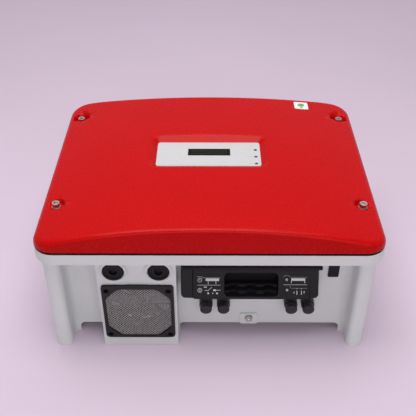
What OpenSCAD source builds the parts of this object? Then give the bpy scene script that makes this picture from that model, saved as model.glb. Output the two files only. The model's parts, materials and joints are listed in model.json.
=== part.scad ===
// String inverter, lying on its back as it stands on a bench.
// +Z points out of the cover, -Y is the connection side, which faces down on a wall.
// The origin is on the standing plane, under the middle of the rim.

/* [Case] */
// Width of the case over the rim
case_w = 450; // [440:1:560]
// Length of the case over the rim, from the connection side to the far side
case_l = 352; // [345:1:440]
// Height of the housing up to the top of the rim
housing_h = 177; // [176:0.5:220]
// Height of the rim band
rim_h = 16; // [12:0.5:22]
// How far the rim stands out beyond the leg fronts
rim_over = 9; // [6:0.5:12]
// How far the rim stands out beyond the side walls
rim_side = 8; // [6:0.5:12]
// Corner radius of the rim and the cover
corner_r = 28; // [22:1:36]
// Wall thickness of the casting
wall_t = 5; // [4:0.5:6]
// Thickness of the floor between the electronics and the cooling channel
floor_t = 4; // [3:0.5:6]
// Height of the cooling channel under the floor
channel_h = 44; // [40:1:48]
// Open gap under the aprons
apron_gap = 16.5; // [10:0.5:20]

/* [Connection side] */
// Width of each leg
leg_w = 23.5; // [21:0.5:26]
// Depth of the apron behind the leg fronts
apron_recess = 30; // [26:1:34]
// Width of the fan block
block_w = 104; // [102:1:112]
// Distance from the case side to the fan block
block_side = 77.5; // [72:0.5:84]
// How far the block face lies behind the leg fronts
block_set = 2.5; // [2:0.5:4]
// Height of the cable entries
entry_z = 139.5; // [139:0.5:143]
// Spacing of the two cable entries
entry_pitch = 59; // [50:1:60]
// Bore of a cable entry
entry_d = 25.5; // [20:0.5:26]

/* [Cover] */
// Height of the crown above the rim in the middle
cover_h = 38.5; // [36:0.5:44]
// How far the crown drops from the middle to the sides at the connection side
crown_drop = 25.4; // [18:0.1:27]
// How far the crown drops from the middle to the sides at the far end
far_drop = 14.2; // [12:0.1:18]
// How much the front arch rises towards the far end
crown_lift = 7.5; // [6:0.5:10]
// How far the cover's sides lean in over the height of the crown
cover_lean = 3.5; // [2:0.5:5]
// Wall thickness of the cover
cover_t = 3; // [2.5:0.5:4]
// Thickness of the cover gasket
gasket_t = 2.5; // [1.5:0.5:3]
// Distance of the cover screws from the case side
screw_side = 21; // [20:0.5:24]
// Distance of the front screws from the front edge
screw_front = 81; // [60:1:100]
// Distance of the rear screws from the rear edge
screw_rear = 46.5; // [40:0.5:80]
// Thread diameter of the cover screws
screw_d = 6; // [5:0.5:6]
// Height the pocket floor stands above the housing
pocket_h = 14.5; // [12:0.5:16]
// Radius of the pocket round a cover screw
pocket_r = 11.5; // [10:0.5:12]

/* [Display] */
// Width of the display panel
panel_w = 149; // [140:1:170]
// Length of the display panel
panel_l = 62; // [58:1:80]
// Position of the panel centre along the cover
panel_y = 11; // [0:1:30]
// Depth of the panel face below the crown
panel_sink = 7.5; // [6:0.5:9]
// Width of the display window
window_w = 61; // [50:1:66]
// Length of the display window
window_l = 18; // [14:1:20]

/* [Fan] */
// Size of the square fan
fan_size = 92; // [80:1:93]
// Depth of the fan
fan_depth = 25; // [20:1:30]
// Height of the fan axis
fan_z = 66; // [64:0.5:66]
// Number of fan blades
blade_count = 7; // [5:2:11]

/* [Disconnect handle] */
// Width of the handle over its flange
handle_w = 184; // [178:1:190]
// Width of the raised grip block
grip_w = 156; // [140:1:160]
// Lower edge of the handle
handle_z = 92; // [86:1:94]
// Height of the handle below its brim
handle_h = 37; // [36:0.5:40]
// How far the lower edge of the handle stands out of the apron
handle_out = 30; // [28:0.5:32]
// Slope of the handle's face, away from upright
handle_tilt = 30; // [26:1:31]
// Length of the contact blades
blade_len = 37; // [30:1:40]

/* [Solar connectors] */
// Height of the connector axes above the electronics floor
dc_rise = 13; // [11:0.5:16]
// Diameter of the connector collar
collar_d = 18.4; // [16:0.2:19]
// Diameter of the sealing cap
cap_d = 16.4; // [14:0.2:17]

/* [Fits] */
// Gap between a moving piece and what it passes
run_gap = 0.3; // [0.2:0.05:0.5]
// Radial clearance of a pin in its bore
pin_gap = 0.05; // [0.03:0.01:0.1]

/* [Hidden] */
$fn = 48;
eps = 0.01;
over = 1;

// Outline of the walls under the rim
body_w = case_w - 2 * rim_side;
body_front = -case_l / 2 + rim_over;
body_back = case_l / 2 - rim_over;
body_l = body_back - body_front;
body_r = 12;
apron_y = body_front + apron_recess;
apron_in = apron_y + wall_t;
rim_z = housing_h - rim_h;
floor_z = channel_h + floor_t;
leg_in = body_w / 2 - leg_w;
leg_nose_r = 8;
leg_fillet = 8;
block_fillet = 4;
inner_w = body_w - 2 * wall_t;
inner_back = body_back - wall_t;
block_x0 = -case_w / 2 + block_side;
block_x1 = block_x0 + block_w;
block_x = (block_x0 + block_x1) / 2;
block_y = body_front + block_set;
block_in = block_y + wall_t;
gap_r = 8;

// Cover and its screws
cover_z = housing_h + gasket_t;
crown_z = housing_h + cover_h;
crown_r = arch_r(crown_drop);
far_r = arch_r(far_drop);
crown_tilt = atan(crown_lift / case_l);
gasket_edge = 0.5;
cover_flange = 12;
screw_x = case_w / 2 - screw_side;
screw_y = [-case_l / 2 + screw_front, case_l / 2 - screw_rear];
pocket_z = housing_h + pocket_h;
washer_t = 1.6;
washer_d = 12;
cover_head_d = 10;
cover_head_h = 6;
boss_d = 14;
boss_l = 36;
screw_reach = 12;

// Display recess, panel, window and lamps
panel_t = 1.2;
panel_z = crown_z - panel_sink;
recess_slope = 12;
recess_floor_t = 2.5;
window_y = panel_y + 5;
window_x = -0.8;
panel_x = -1.5;
window_rim = 1.9;
lamp_x = panel_w / 2 - 8.2;
lamp_y = [panel_y + 11, panel_y - 7, panel_y - 24.7];
lamp_d = 5;

// Fan block parts
guard_w = fan_size + 4;
guard_l = fan_size + 5.5;
guard_rise = 1.4;
guard_t = 4.7;
guard_seat = 1.2;
mesh_open = fan_size - 4;
mesh_round = fan_size / 2 + 4;
fan_hole = fan_size - 9.5;
fan_head_d = 7;
fan_bore = fan_size / 2 - 2;
hub_r = 17.5;
duct_t = 2;
duct_top = rim_z - 43;
duct_back = apron_in + 34;
entry_ring_d = 37.5;
entry_ring_t = 1.5;
entry_sink = 2;
plug_d = 28;
plug_t = 1.8;
seal_t = 0.8;
plug_y = block_y - entry_ring_t + entry_sink - seal_t;

// Disconnect handle, placed beside the fan block
handle_x = block_x1 + 5.5 + handle_w / 2;
grip_x = handle_x + 2;
handle_y = apron_y - handle_out;
handle_split = apron_y - 5;
handle_rear = apron_y - run_gap;
handle_top = handle_z + handle_h;
handle_lip = handle_y + handle_h * tan(handle_tilt);
handle_shoulder = 2.5;
handle_r = 5;
brim_t = 5;
brim_out = 4.6;
brim_in = 2.4;
brim_over = 4;
cavity_w = 71.5;
cavity_h = 28;
cavity_z = handle_z + 3;
cavity_floor = 3;
cavity_r = 6;
tray_lip = handle_y + 9;
tray_step = 9;
tray_h = 4;
tray_rise = 3;
finger_r = 13;
finger_cut = 2.5;
grip_screw_x = grip_w / 2 - 28;
grip_screw_z = [handle_z + 8, handle_z + 24];
grip_screw_l = 9;
grip_head_in = 3;
label_w = 34;
label_l = 31;
label_x = 57.5;
label_y = 21.5;
label_t = 0.3;
blade_t = 3;
blade_h = 12;
blade_pitch = 24;
blade_xs = [for (i = [-2.5:1:2.5]) handle_x + i * blade_pitch];
blade_z = handle_z + 20;
socket_in_w = 150;
socket_in_h = 32;
socket_w = handle_w - 14;
leaf_back = 1.5;
socket_wall = 2;
socket_l = blade_len + 0.5 + leaf_back + socket_wall - wall_t;
socket_h = 44;

// Solar connectors, from the fan block outwards
dc_xs = [for (d = [38.9, 63.1, 156.5, 180]) block_x1 + d];
dc_z = floor_z + dc_rise;
collar_l = 10.5;
nose_d = 12;
nose_l = 6.5;
cap_l = 8.5;
dc_thread_d = 12;
dc_tail = 20;

// Small pieces on the apron
service_w = 14.5;
service_h = 21;
service_x = leg_in - 26;
service_z = 107;
pad_w = 24.5;
pad_h = 20;
pad_t = 2.5;
earth_washer_t = 0.8;
pad_z = apron_gap;
earth_x = grip_x;
earth_z = pad_z + 12;

// Side grilles near the far end
grille_l = 84;
grille_h = 26;
grille_y = inner_back - 56;
grille_z = 24;
grille_proud = 1.5;

// Cooling
sink_base_t = 6;
fin_t = 2.5;
fin_pitch = 12.5;
fin_z = 10;
sink_w = inner_w - 44;
sink_y0 = duct_back + 2;
sink_y1 = inner_back - 48;
rail_y = inner_back - 22;
rail_x = case_w / 3;
rail_w = 30;
rail_t = 3;
rail_z = 3;
lock_x = case_w / 4;
lock_d = 6.6;

// Electronics
board_t = 1.6;
board_rise = 14;
board_z = floor_z + board_rise;
board_top = board_z + board_t;
core_w = 118;
core_h = 100;
core_t = 56;
core_foot = 3;
core_x = inner_w / 2 - core_w / 2 - 8;
core_y = inner_back - 88;
leg_core = 36;
core_yoke = 18;
coil_out = 22;
board_x0 = -inner_w / 2 + 14;
board_x1 = core_x - core_w / 2 - 40;
board_y0 = duct_back + 10;
board_y1 = inner_back - 12;
cap_r = 17.5;
cap_h = 50;
cap_pitch = 39;
tray_t = 1.5;
tray_z = board_top + cap_h + 12;
tray_x0 = -110;
tray_x1 = core_x - core_w / 2 - 4;
tray_y0 = -66;
tray_y1 = 90;
ctrl_z = tray_z + tray_t + 10;
ctrl_top = ctrl_z + board_t;
lcd_h = 9;
display_z = panel_z - panel_t - recess_floor_t - 0.7 - lcd_h - board_t;
post_d = 8;
post_gap = 1;

// ---------- shared shapes ----------

// Radius of an arch over the case width that drops by that much at its ends
function arch_r(drop) = (case_w * case_w / 4 + drop * drop) / (2 * drop);

module rounded_rect(w, l, r) {
    square([w - 2 * r, l], center = true);
    square([w, l - 2 * r], center = true);
    for (sx = [-1, 1], sy = [-1, 1])
        translate([sx * (w / 2 - r), sy * (l / 2 - r)]) circle(r);
}

// A block between two X and two Z values, extruded from y0 towards +Y, with rounded corners
module panel_block(x0, x1, z0, z1, y0, depth, r) {
    translate([(x0 + x1) / 2, y0 + depth, (z0 + z1) / 2])
        rotate([90, 0, 0])
            linear_extrude(depth) rounded_rect(x1 - x0, z1 - z0, r);
}

// The spandrel between two edges and the round of radius r that joins them
module spandrel(r) {
    difference() {
        translate([-eps, -eps]) square(r + eps);
        translate([r, r]) circle(r);
    }
}

// Four-sided block that goes from half sizes a0, b0 at z0 to a1, b1 at z1
module frustum(a0, b0, z0, a1, b1, z1) {
    polyhedron(
        points = [for (k = [0, 1], c = [[-1, -1], [1, -1], [1, 1], [-1, 1]])
            [c[0] * (k ? a1 : a0), c[1] * (k ? b1 : b0), k ? z1 : z0]],
        faces = [[0, 1, 2, 3], [7, 6, 5, 4], [1, 0, 4, 5], [2, 1, 5, 6], [3, 2, 6, 7],
            [0, 3, 7, 4]]);
}

module rod_y(x, y0, z, d, len) {
    translate([x, y0, z]) rotate([-90, 0, 0]) cylinder(d = d, h = len);
}

module hex_y(x, y0, z, across, len) {
    translate([x, y0, z]) rotate([-90, 0, 0]) rotate(30)
        cylinder(d = across / cos(30), h = len, $fn = 6);
}

module box(x0, x1, y0, y1, z0, z1) {
    translate([x0, y0, z0]) cube([x1 - x0, y1 - y0, z1 - z0]);
}

// Cap screw with a hex socket, head upwards, seated at z = 0
module cap_screw(d, head_d, head_h, len) {
    difference() {
        union() {
            cylinder(d = head_d, h = head_h);
            translate([0, 0, -len]) cylinder(d = d, h = len + eps);
        }
        translate([0, 0, head_h * 0.4]) cylinder(d = d / cos(30), h = head_h, $fn = 6);
    }
}

// ---------- housing ----------

// One bay between a leg and the fan block; grow widens it to leave a wall round it
module bay(x0, x1, r0, r1, grow) {
    difference() {
        translate([x0 - grow, body_front - over])
            square([x1 - x0 + 2 * grow, apron_y - body_front + over + grow]);
        if (grow == 0) {
            translate([x0, apron_y]) mirror([0, 1]) spandrel(r0);
            translate([x1, apron_y]) mirror([1, 0]) mirror([0, 1]) spandrel(r1);
        }
    }
}

module bays(grow) {
    bay(-leg_in, block_x0, leg_fillet, block_fillet, grow);
    bay(block_x1, leg_in, block_fillet, leg_fillet, grow);
    translate([-leg_in, body_front - over])
        square([2 * leg_in, over + block_set + grow]);
}

module body_outline() {
    difference() {
        translate([0, (body_front + body_back) / 2]) rounded_rect(body_w, body_l, body_r);
        bays(0);
        translate([-leg_in, body_front]) mirror([1, 0]) spandrel(leg_nose_r);
        translate([leg_in, body_front]) spandrel(leg_nose_r);
    }
}

module hollow_outline() {
    difference() {
        translate([0, (body_front + body_back) / 2])
            rounded_rect(inner_w, body_l - 2 * wall_t, body_r - wall_t);
        bays(wall_t);
    }
}

// The arch cut under an apron, from x0 to x1, with rounded upper corners
module apron_cut(x0, x1, y0) {
    translate([0, y0 + wall_t + 2 * over, 0]) rotate([90, 0, 0])
        linear_extrude(wall_t + 3 * over) {
            translate([x0, -over]) square([x1 - x0, apron_gap - gap_r + over]);
            translate([x0 + gap_r, -over]) square([x1 - x0 - 2 * gap_r, apron_gap + over]);
            for (x = [x0 + gap_r, x1 - gap_r]) translate([x, apron_gap - gap_r]) circle(gap_r);
        }
}

module fan_window(size, round_r) {
    intersection() {
        circle(round_r);
        square(size, center = true);
    }
}

module at_fan_screws() {
    for (sx = [-1, 1], sz = [-1, 1])
        translate([block_x + sx * fan_hole / 2, 0, fan_z + sz * fan_hole / 2]) children();
}

module housing() {
    color("gainsboro") difference() {
        union() {
            linear_extrude(rim_z + eps) body_outline();
            translate([0, 0, rim_z]) linear_extrude(rim_h) rounded_rect(case_w, case_l, corner_r);
            at_entries() rod_y(0, block_y - entry_ring_t, 0, entry_ring_d, entry_ring_t + over);
            panel_block(earth_x - pad_w / 2, earth_x + pad_w / 2, pad_z, pad_z + pad_h,
                apron_y - pad_t, pad_t + over, 3);
        }
        translate([0, 0, -over]) linear_extrude(channel_h + over) hollow_outline();
        difference() {
            translate([0, 0, floor_z]) linear_extrude(housing_h) hollow_outline();
            for (sx = [-1, 1], y = screw_y) {
                translate([sx * screw_x, y, housing_h - boss_l]) cylinder(d = boss_d, h = boss_l);
                translate([sx * (screw_x + boss_d / 2), y, housing_h - boss_l / 2])
                    cube([boss_d, boss_d, boss_l], center = true);
            }
        }
        box(block_x - fan_size / 2 - 0.7, block_x + fan_size / 2 + 0.7, block_in, duct_back - 4,
            channel_h - over, floor_z + over);
        apron_cut(-leg_in + leg_fillet, block_x0, apron_y);
        apron_cut(block_x1, leg_in - leg_fillet, apron_y);
        apron_cut(-leg_in, leg_in, inner_back);
        translate([0, 0, housing_h - gasket_t]) linear_extrude(gasket_t + over)
            gasket_ring(7, 4);
        housing_holes();
    }
    color("gainsboro") for (sx = [-1, 1]) rail_boss(sx * rail_x);
}

module rail_boss(x) {
    difference() {
        translate([x, rail_y, rail_z + rail_t]) cylinder(d = 14, h = channel_h - rail_z - rail_t);
        translate([x, rail_y, rail_z]) cylinder(d = 5 + 2 * pin_gap, h = 18);
    }
}

module housing_holes() {
    for (sx = [-1, 1], y = screw_y)
        translate([sx * screw_x, y, housing_h - screw_reach - 2])
            cylinder(d = screw_d + 2 * pin_gap, h = screw_reach + 2 + over);
    at_entries() {
        rod_y(0, block_y - 2 * over, 0, entry_d, wall_t + 3 * over);
        rod_y(0, block_y - entry_ring_t - over, 0, plug_d + 1.4, entry_sink + over);
    }
    translate([block_x, block_in + over, fan_z]) rotate([90, 0, 0])
        linear_extrude(wall_t + 2 * over) fan_window(mesh_open - 2, mesh_round - 4);
    panel_block(block_x - guard_w / 2 - run_gap, block_x + guard_w / 2 + run_gap,
        fan_z + guard_rise - guard_l / 2 - run_gap, fan_z + guard_rise + guard_l / 2 + run_gap,
        block_y - over, guard_seat + over, 5);
    at_fan_screws() rod_y(0, block_y - over, 0, 4 + 2 * pin_gap, wall_t + 2 * over);
    panel_block(handle_x - socket_in_w / 2, handle_x + socket_in_w / 2, blade_z - socket_in_h / 2,
        blade_z + socket_in_h / 2, apron_y - over, wall_t + 2 * over, 3);
    for (x = dc_xs) rod_y(x, apron_y - over, dc_z, dc_thread_d + 2 * pin_gap, wall_t + 2 * over);
    box(service_x - service_w / 2 + 1, service_x + service_w / 2 - 1, apron_y - over,
        apron_in + over, service_z + 1, service_z + service_h - 1);
    rod_y(earth_x, apron_y - pad_t - over, earth_z, 5 + 2 * pin_gap, wall_t + pad_t - 1 + over);
    for (s = [-1, 1])
        box(s * body_w / 2 - wall_t - over, s * body_w / 2 + wall_t + over,
            grille_y - grille_l / 2, grille_y + grille_l / 2,
            grille_z - grille_h / 2, grille_z + grille_h / 2);
}

// A ring that follows the rim, from one inset to the next
module gasket_ring(inset, width) {
    difference() {
        rounded_rect(case_w - 2 * inset, case_l - 2 * inset, corner_r - inset);
        rounded_rect(case_w - 2 * inset - 2 * width, case_l - 2 * inset - 2 * width,
            corner_r - inset - width);
    }
}

module cover_gasket() {
    color("#1a1a1a") {
        translate([0, 0, housing_h]) linear_extrude(gasket_t)
            gasket_ring(gasket_edge, cover_flange - 2 * gasket_edge);
        translate([0, 0, housing_h - gasket_t + 0.1]) linear_extrude(gasket_t + over / 2)
            gasket_ring(7.15, 3.7);
    }
}

// ---------- cover ----------

// What lies under the crown, inside leaning sides that start inset from the rim
module crown_body(inset, z0, sink) {
    a = case_w / 2 - inset;
    b = case_l / 2 - inset;
    intersection() {
        translate([0, 0, z0]) linear_extrude(cover_h + 10) rounded_rect(2 * a, 2 * b, corner_r - inset);
        frustum(a, b, z0, a - cover_lean, b - cover_lean, crown_z + over);
        translate([0, case_l / 2 + over, crown_z - far_r]) rotate([90, 0, 0])
            cylinder(r = far_r - sink, h = case_l + 2 * over, $fn = 200);
        translate([0, -case_l / 2, crown_z - crown_r]) rotate([crown_tilt - 90, 0, 0])
            translate([0, 0, -case_l / 2]) cylinder(r = crown_r - sink, h = 2 * case_l, $fn = 200);
    }
}

// Sloped pocket whose floor is the panel outline, grown by wall and lowered by drop
module recess(wall, drop) {
    z0 = panel_z - panel_t - drop;
    rise = crown_z - z0 + 1;
    run = recess_slope * rise / (panel_sink + panel_t);
    a = panel_w / 2 + abs(panel_x) + 0.6 + wall;
    b = panel_l / 2 + 0.6 + wall;
    translate([0, panel_y, 0]) frustum(a, b, z0, a + run, b + run, z0 + rise);
}

module at_cover_screws(z) {
    for (sx = [-1, 1], y = screw_y) translate([sx * screw_x, y, z]) children();
}

module cover() {
    color("#c8161a") difference() {
        union() {
            difference() {
                crown_body(0, cover_z, 0);
                crown_body(cover_t, cover_z - over, cover_t);
            }
            translate([0, 0, cover_z]) linear_extrude(cover_t) gasket_ring(eps, cover_flange);
            intersection() {
                crown_body(eps, cover_z, eps);
                union() {
                    recess(cover_t, recess_floor_t);
                    at_cover_screws(pocket_z - cover_t) cylinder(r = pocket_r + cover_t, h = 30);
                }
            }
            at_cover_screws(housing_h) cylinder(d = boss_d, h = pocket_h);
        }
        recess(0, 0);
        at_cover_screws(pocket_z) cylinder(r = pocket_r, h = 30);
        at_cover_screws(housing_h - over) cylinder(d = screw_d + 0.6, h = pocket_h + 2 * over);
        translate([window_x, window_y, 0]) linear_extrude(crown_z)
            square([window_w - 2 * window_rim, window_l - 2 * window_rim], center = true);
        for (y = lamp_y) translate([lamp_x, y, 0]) cylinder(d = lamp_d + 0.6, h = crown_z);
    }
}

module cover_screws() {
    color("silver") at_cover_screws(pocket_z + washer_t)
        cap_screw(screw_d, cover_head_d, cover_head_h, pocket_h + washer_t + screw_reach);
}

module cover_washers() {
    color("dimgray") at_cover_screws(pocket_z) difference() {
        cylinder(d = washer_d, h = washer_t);
        translate([0, 0, -over]) cylinder(d = screw_d + 0.6, h = washer_t + 2 * over);
    }
}

module display_panel() {
    color("whitesmoke") translate([0, 0, panel_z - panel_t]) difference() {
        translate([panel_x, panel_y]) linear_extrude(panel_t) rounded_rect(panel_w, panel_l, 4);
        translate([window_x, window_y, -over]) linear_extrude(panel_t + 2 * over)
            square([window_w, window_l], center = true);
        for (y = lamp_y) translate([lamp_x, y, -over]) cylinder(d = lamp_d, h = panel_t + 2 * over);
    }
}

module display_window() {
    color("#20281c") translate([window_x, window_y, panel_z - panel_t]) linear_extrude(panel_t)
        square([window_w - 0.1, window_l - 0.1], center = true);
}

module indicator_lenses() {
    color("#5a5a5a") for (y = lamp_y) translate([lamp_x, y, panel_z - panel_t]) {
        cylinder(d = lamp_d - 0.1, h = panel_t);
    }
}

module cover_sticker() {
    w = 22;
    x = case_w / 2 - 79;
    y = case_l / 2 - 24;
    color("white") intersection() {
        translate([x, y, cover_z]) linear_extrude(cover_h) rounded_rect(w, w, 2);
        difference() {
            translate([0, case_l / 2, crown_z - far_r]) rotate([90, 0, 0])
                cylinder(r = far_r + label_t, h = 2 * w, $fn = 200);
            translate([0, case_l / 2 + over, crown_z - far_r]) rotate([90, 0, 0])
                cylinder(r = far_r + eps, h = 2 * w + 2 * over, $fn = 200);
        }
    }
}

// ---------- disconnect handle ----------

module cavity(y1) {
    panel_block(grip_x - cavity_w / 2, grip_x + cavity_w / 2, cavity_z, cavity_z + cavity_h,
        handle_y - over, y1 - handle_y + over, cavity_r);
}

// A wedge whose face slopes back from the lower edge, with rounded lower corners
module wedge(x0, x1, back, r) {
    intersection() {
        translate([x0, 0, 0]) rotate([90, 0, 90]) linear_extrude(x1 - x0)
            polygon([[handle_split, handle_z], [handle_y + back, handle_z],
                [handle_lip + back, handle_top], [handle_split, handle_top]]);
        panel_block(x0, x1, handle_z, handle_top + r, handle_y - over,
            handle_split - handle_y + 2 * over, r);
    }
}

module handle_shell() {
    color("#26262a") difference() {
        union() {
            wedge(grip_x - grip_w / 2, grip_x + grip_w / 2, 0, 3);
            wedge(handle_x - handle_w / 2, handle_x + handle_w / 2, handle_shoulder, handle_r);
            panel_block(handle_x - handle_w / 2 + brim_in, handle_x + handle_w / 2 + brim_over,
                handle_top, handle_top + brim_t, handle_lip - brim_out,
                handle_split - handle_lip + brim_out, 1.5);
        }
        cavity(handle_split + over);
        handle_screw_holes(handle_split - grip_screw_l + 1, grip_screw_l);
    }
    color("#26262a") {
        finger_tray(tray_lip, cavity_z - eps, tray_h);
        finger_tray(tray_lip + tray_step, cavity_z, tray_h + tray_rise);
    }
}

// A ledge on the cavity floor, scalloped for three fingers
module finger_tray(y0, z0, h) {
    difference() {
        box(grip_x - cavity_w / 2 - eps, grip_x + cavity_w / 2 + eps, y0, handle_split, z0, z0 + h);
        for (i = [-1, 0, 1])
            translate([grip_x + i * cavity_w / 3, y0 + finger_cut - finger_r, z0 - over])
                cylinder(r = finger_r, h = h + 2 * over);
    }
}

module at_grip_screws() {
    for (sx = [-1, 1], z = grip_screw_z) translate([grip_x + sx * grip_screw_x, 0, z]) children();
}

module handle_screw_holes(y0, len) {
    at_grip_screws() rod_y(0, y0, 0, 3 + 2 * pin_gap, len);
}

module handle_backplate() {
    color("#202023") difference() {
        union() {
            panel_block(handle_x - handle_w / 2, handle_x + handle_w / 2, handle_z,
                handle_top + brim_t, handle_split, handle_rear - handle_split, handle_r);
            panel_block(handle_x - socket_in_w / 2 + run_gap, handle_x + socket_in_w / 2 - run_gap,
                blade_z - socket_in_h / 2 + run_gap, blade_z + socket_in_h / 2 - run_gap,
                handle_rear - eps, 2, 3);
        }
        cavity(handle_rear - cavity_floor);
        handle_screw_holes(handle_split - over, wall_t + 20);
        at_grip_screws() rod_y(0, handle_rear - grip_head_in, 0, 6.4, 10);
        for (x = blade_xs) box(x - blade_t / 2, x + blade_t / 2, handle_rear - 2,
            handle_rear + 10, blade_z - blade_h / 2, blade_z + blade_h / 2);
    }
}

module handle_contacts() {
    color("#b9a46a") for (x = blade_xs)
        box(x - blade_t / 2, x + blade_t / 2, handle_rear - 2, handle_rear + blade_len,
            blade_z - blade_h / 2, blade_z + blade_h / 2);
}

module handle_screws() {
    color("silver") at_grip_screws() translate([0, handle_rear - grip_head_in, 0])
        rotate([-90, 0, 0]) cap_screw(3, 5.8, 2.6, grip_screw_l);
}

module handle_labels() {
    color("#3a3a3e") translate([grip_x, handle_y, handle_z]) rotate([90 - handle_tilt, 0, 0])
        for (sx = [-1, 1]) translate([sx * label_x, label_y, 0])
            linear_extrude(label_t) rounded_rect(label_w, label_l, 2);
}

module dc_socket() {
    x0 = handle_x - handle_w / 2 + 14;
    color("#2c2c30") difference() {
        union() {
            box(x0, x0 + socket_w, apron_in, apron_in + socket_l,
                blade_z - socket_h / 2, blade_z + socket_h / 2);
            panel_block(handle_x - socket_in_w / 2 + 0.1, handle_x + socket_in_w / 2 - 0.1,
                blade_z - socket_in_h / 2 + 0.1, blade_z + socket_in_h / 2 - 0.1,
                apron_y + 2, wall_t - 2 + eps, 3);
        }
        for (x = blade_xs) {
            box(x - blade_t / 2 - run_gap, x + blade_t / 2 + run_gap, apron_y, apron_in + 4,
                blade_z - blade_h / 2 - run_gap, blade_z + blade_h / 2 + run_gap);
            box(x - 5, x + 5, apron_in + 3, apron_in + socket_l - socket_wall,
                blade_z - blade_h / 2 - 1, blade_z + blade_h / 2 + 1);
        }
    }
}

// A pair of leaves in each socket chamber, joined behind the blade
module socket_contacts() {
    y0 = apron_in + 3.3;
    y1 = apron_in + socket_l - socket_wall;
    color("#c9b060") for (x = blade_xs) difference() {
        box(x - 3.5, x + 3.5, y0, y1, blade_z - 5, blade_z + 5);
        box(x - blade_t / 2 - 0.1, x + blade_t / 2 + 0.1, y0 - over, y1 - leaf_back,
            blade_z - 6, blade_z + 6);
    }
}

// ---------- solar connectors ----------

module dc_connectors() {
    color("#1c1c1e") for (x = dc_xs) {
        rod_y(x, apron_y - collar_l, dc_z, collar_d, collar_l);
        rod_y(x, apron_y - collar_l - nose_l, dc_z, nose_d, nose_l + eps);
        rod_y(x, apron_y - eps, dc_z, dc_thread_d, dc_tail);
    }
}

module dc_connector_nuts() {
    color("#3a3a3c") for (x = dc_xs) difference() {
        hex_y(x, apron_in, dc_z, 17, 5);
        rod_y(x, apron_in - over, dc_z, dc_thread_d + 2 * pin_gap, 5 + 2 * over);
    }
}

module dc_cap(x) {
    y1 = apron_y - collar_l - pin_gap;
    color("#19191b") difference() {
        rod_y(x, y1 - cap_l, dc_z, cap_d, cap_l);
        rod_y(x, y1 - nose_l - 0.1, dc_z, nose_d + 2 * pin_gap, nose_l + 0.1 + over);
    }
}

// ---------- cable entries and small pieces on the connection side ----------

module at_entries() {
    for (s = [-1, 1]) translate([block_x + s * entry_pitch / 2, 0, entry_z]) children();
}

module cable_plugs() {
    color("#161618") at_entries() difference() {
        union() {
            rod_y(0, plug_y - plug_t, 0, plug_d, plug_t);
            rod_y(0, plug_y - eps, 0, entry_d - 0.4, wall_t + 9);
        }
        rod_y(0, plug_y - plug_t - over, 0, plug_d - 6, 1 + over);
        hex_y(0, plug_y - plug_t - over, 0, 10, 4.5 + over);
    }
}

module plug_seals() {
    color("#303034") at_entries() difference() {
        rod_y(0, plug_y, 0, plug_d + 0.8, seal_t);
        rod_y(0, plug_y - over, 0, entry_d, seal_t + 2 * over);
    }
}

module plug_locknuts() {
    color("#28282a") at_entries() difference() {
        hex_y(0, block_in, 0, 31, 5);
        rod_y(0, block_in - over, 0, entry_d, 5 + 2 * over);
    }
}

module service_plug() {
    color("#121214") {
        panel_block(service_x - service_w / 2, service_x + service_w / 2, service_z,
            service_z + service_h, apron_y - 2, 2, 1.8);
        box(service_x - service_w / 2 + 1.2, service_x + service_w / 2 - 1.2, apron_y - eps,
            apron_in + 3, service_z + 1.2, service_z + service_h - 1.2);
    }
}

module earth_washer() {
    color("#8a8a8c") difference() {
        rod_y(earth_x, apron_y - pad_t - earth_washer_t, earth_z, 11, earth_washer_t);
        rod_y(earth_x, apron_y - pad_t - 2 * over, earth_z, 5.4, 2 * over + 1);
    }
}

module earth_screw() {
    color("#b8b0a4") translate([earth_x, apron_y - pad_t - earth_washer_t, earth_z])
        rotate([90, 0, 0]) cap_screw(5, 9.4, 3, 6);
}

// ---------- fan ----------

module guard_outline() {
    translate([0, guard_rise]) rounded_rect(guard_w, guard_l, 5);
    translate([0, guard_rise + guard_l / 2]) square([31, 2], center = true);
    for (s = [-1, 1]) translate([s * 29, guard_rise + guard_l / 2]) circle(d = 2);
}

module guard_frame() {
    y0 = block_y + guard_seat;
    color("#1b1b1d") translate([block_x, y0, fan_z]) rotate([90, 0, 0]) difference() {
        union() {
            linear_extrude(guard_seat) translate([0, guard_rise])
                rounded_rect(guard_w, guard_l, 5);
            translate([0, 0, guard_seat]) linear_extrude(guard_t - guard_seat) guard_outline();
        }
        translate([0, 0, -over]) linear_extrude(guard_t + 2 * over)
            fan_window(mesh_open, mesh_round);
        for (sx = [-1, 1], sz = [-1, 1])
            translate([sx * fan_hole / 2, sz * fan_hole / 2, -over])
                cylinder(d = fan_head_d + 2 * run_gap, h = guard_t + 2 * over);
    }
}

// A lattice of wires, flat in this solid, whose ends run to the inside of the frame
module guard_mesh() {
    pitch = 8;
    wire = 1.6;
    n = ceil(mesh_open / pitch / 2);
    color("#8f8a80") translate([block_x, block_y - 1.2, fan_z]) rotate([90, 0, 0])
        linear_extrude(0.9) intersection() {
            fan_window(mesh_open - 0.1, mesh_round - 0.05);
            rotate(45) for (i = [-n - 3:n + 3], a = [0, 90])
                rotate(a) translate([i * pitch - wire / 2, -mesh_open])
                    square([wire, 2 * mesh_open]);
        }
}

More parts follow.
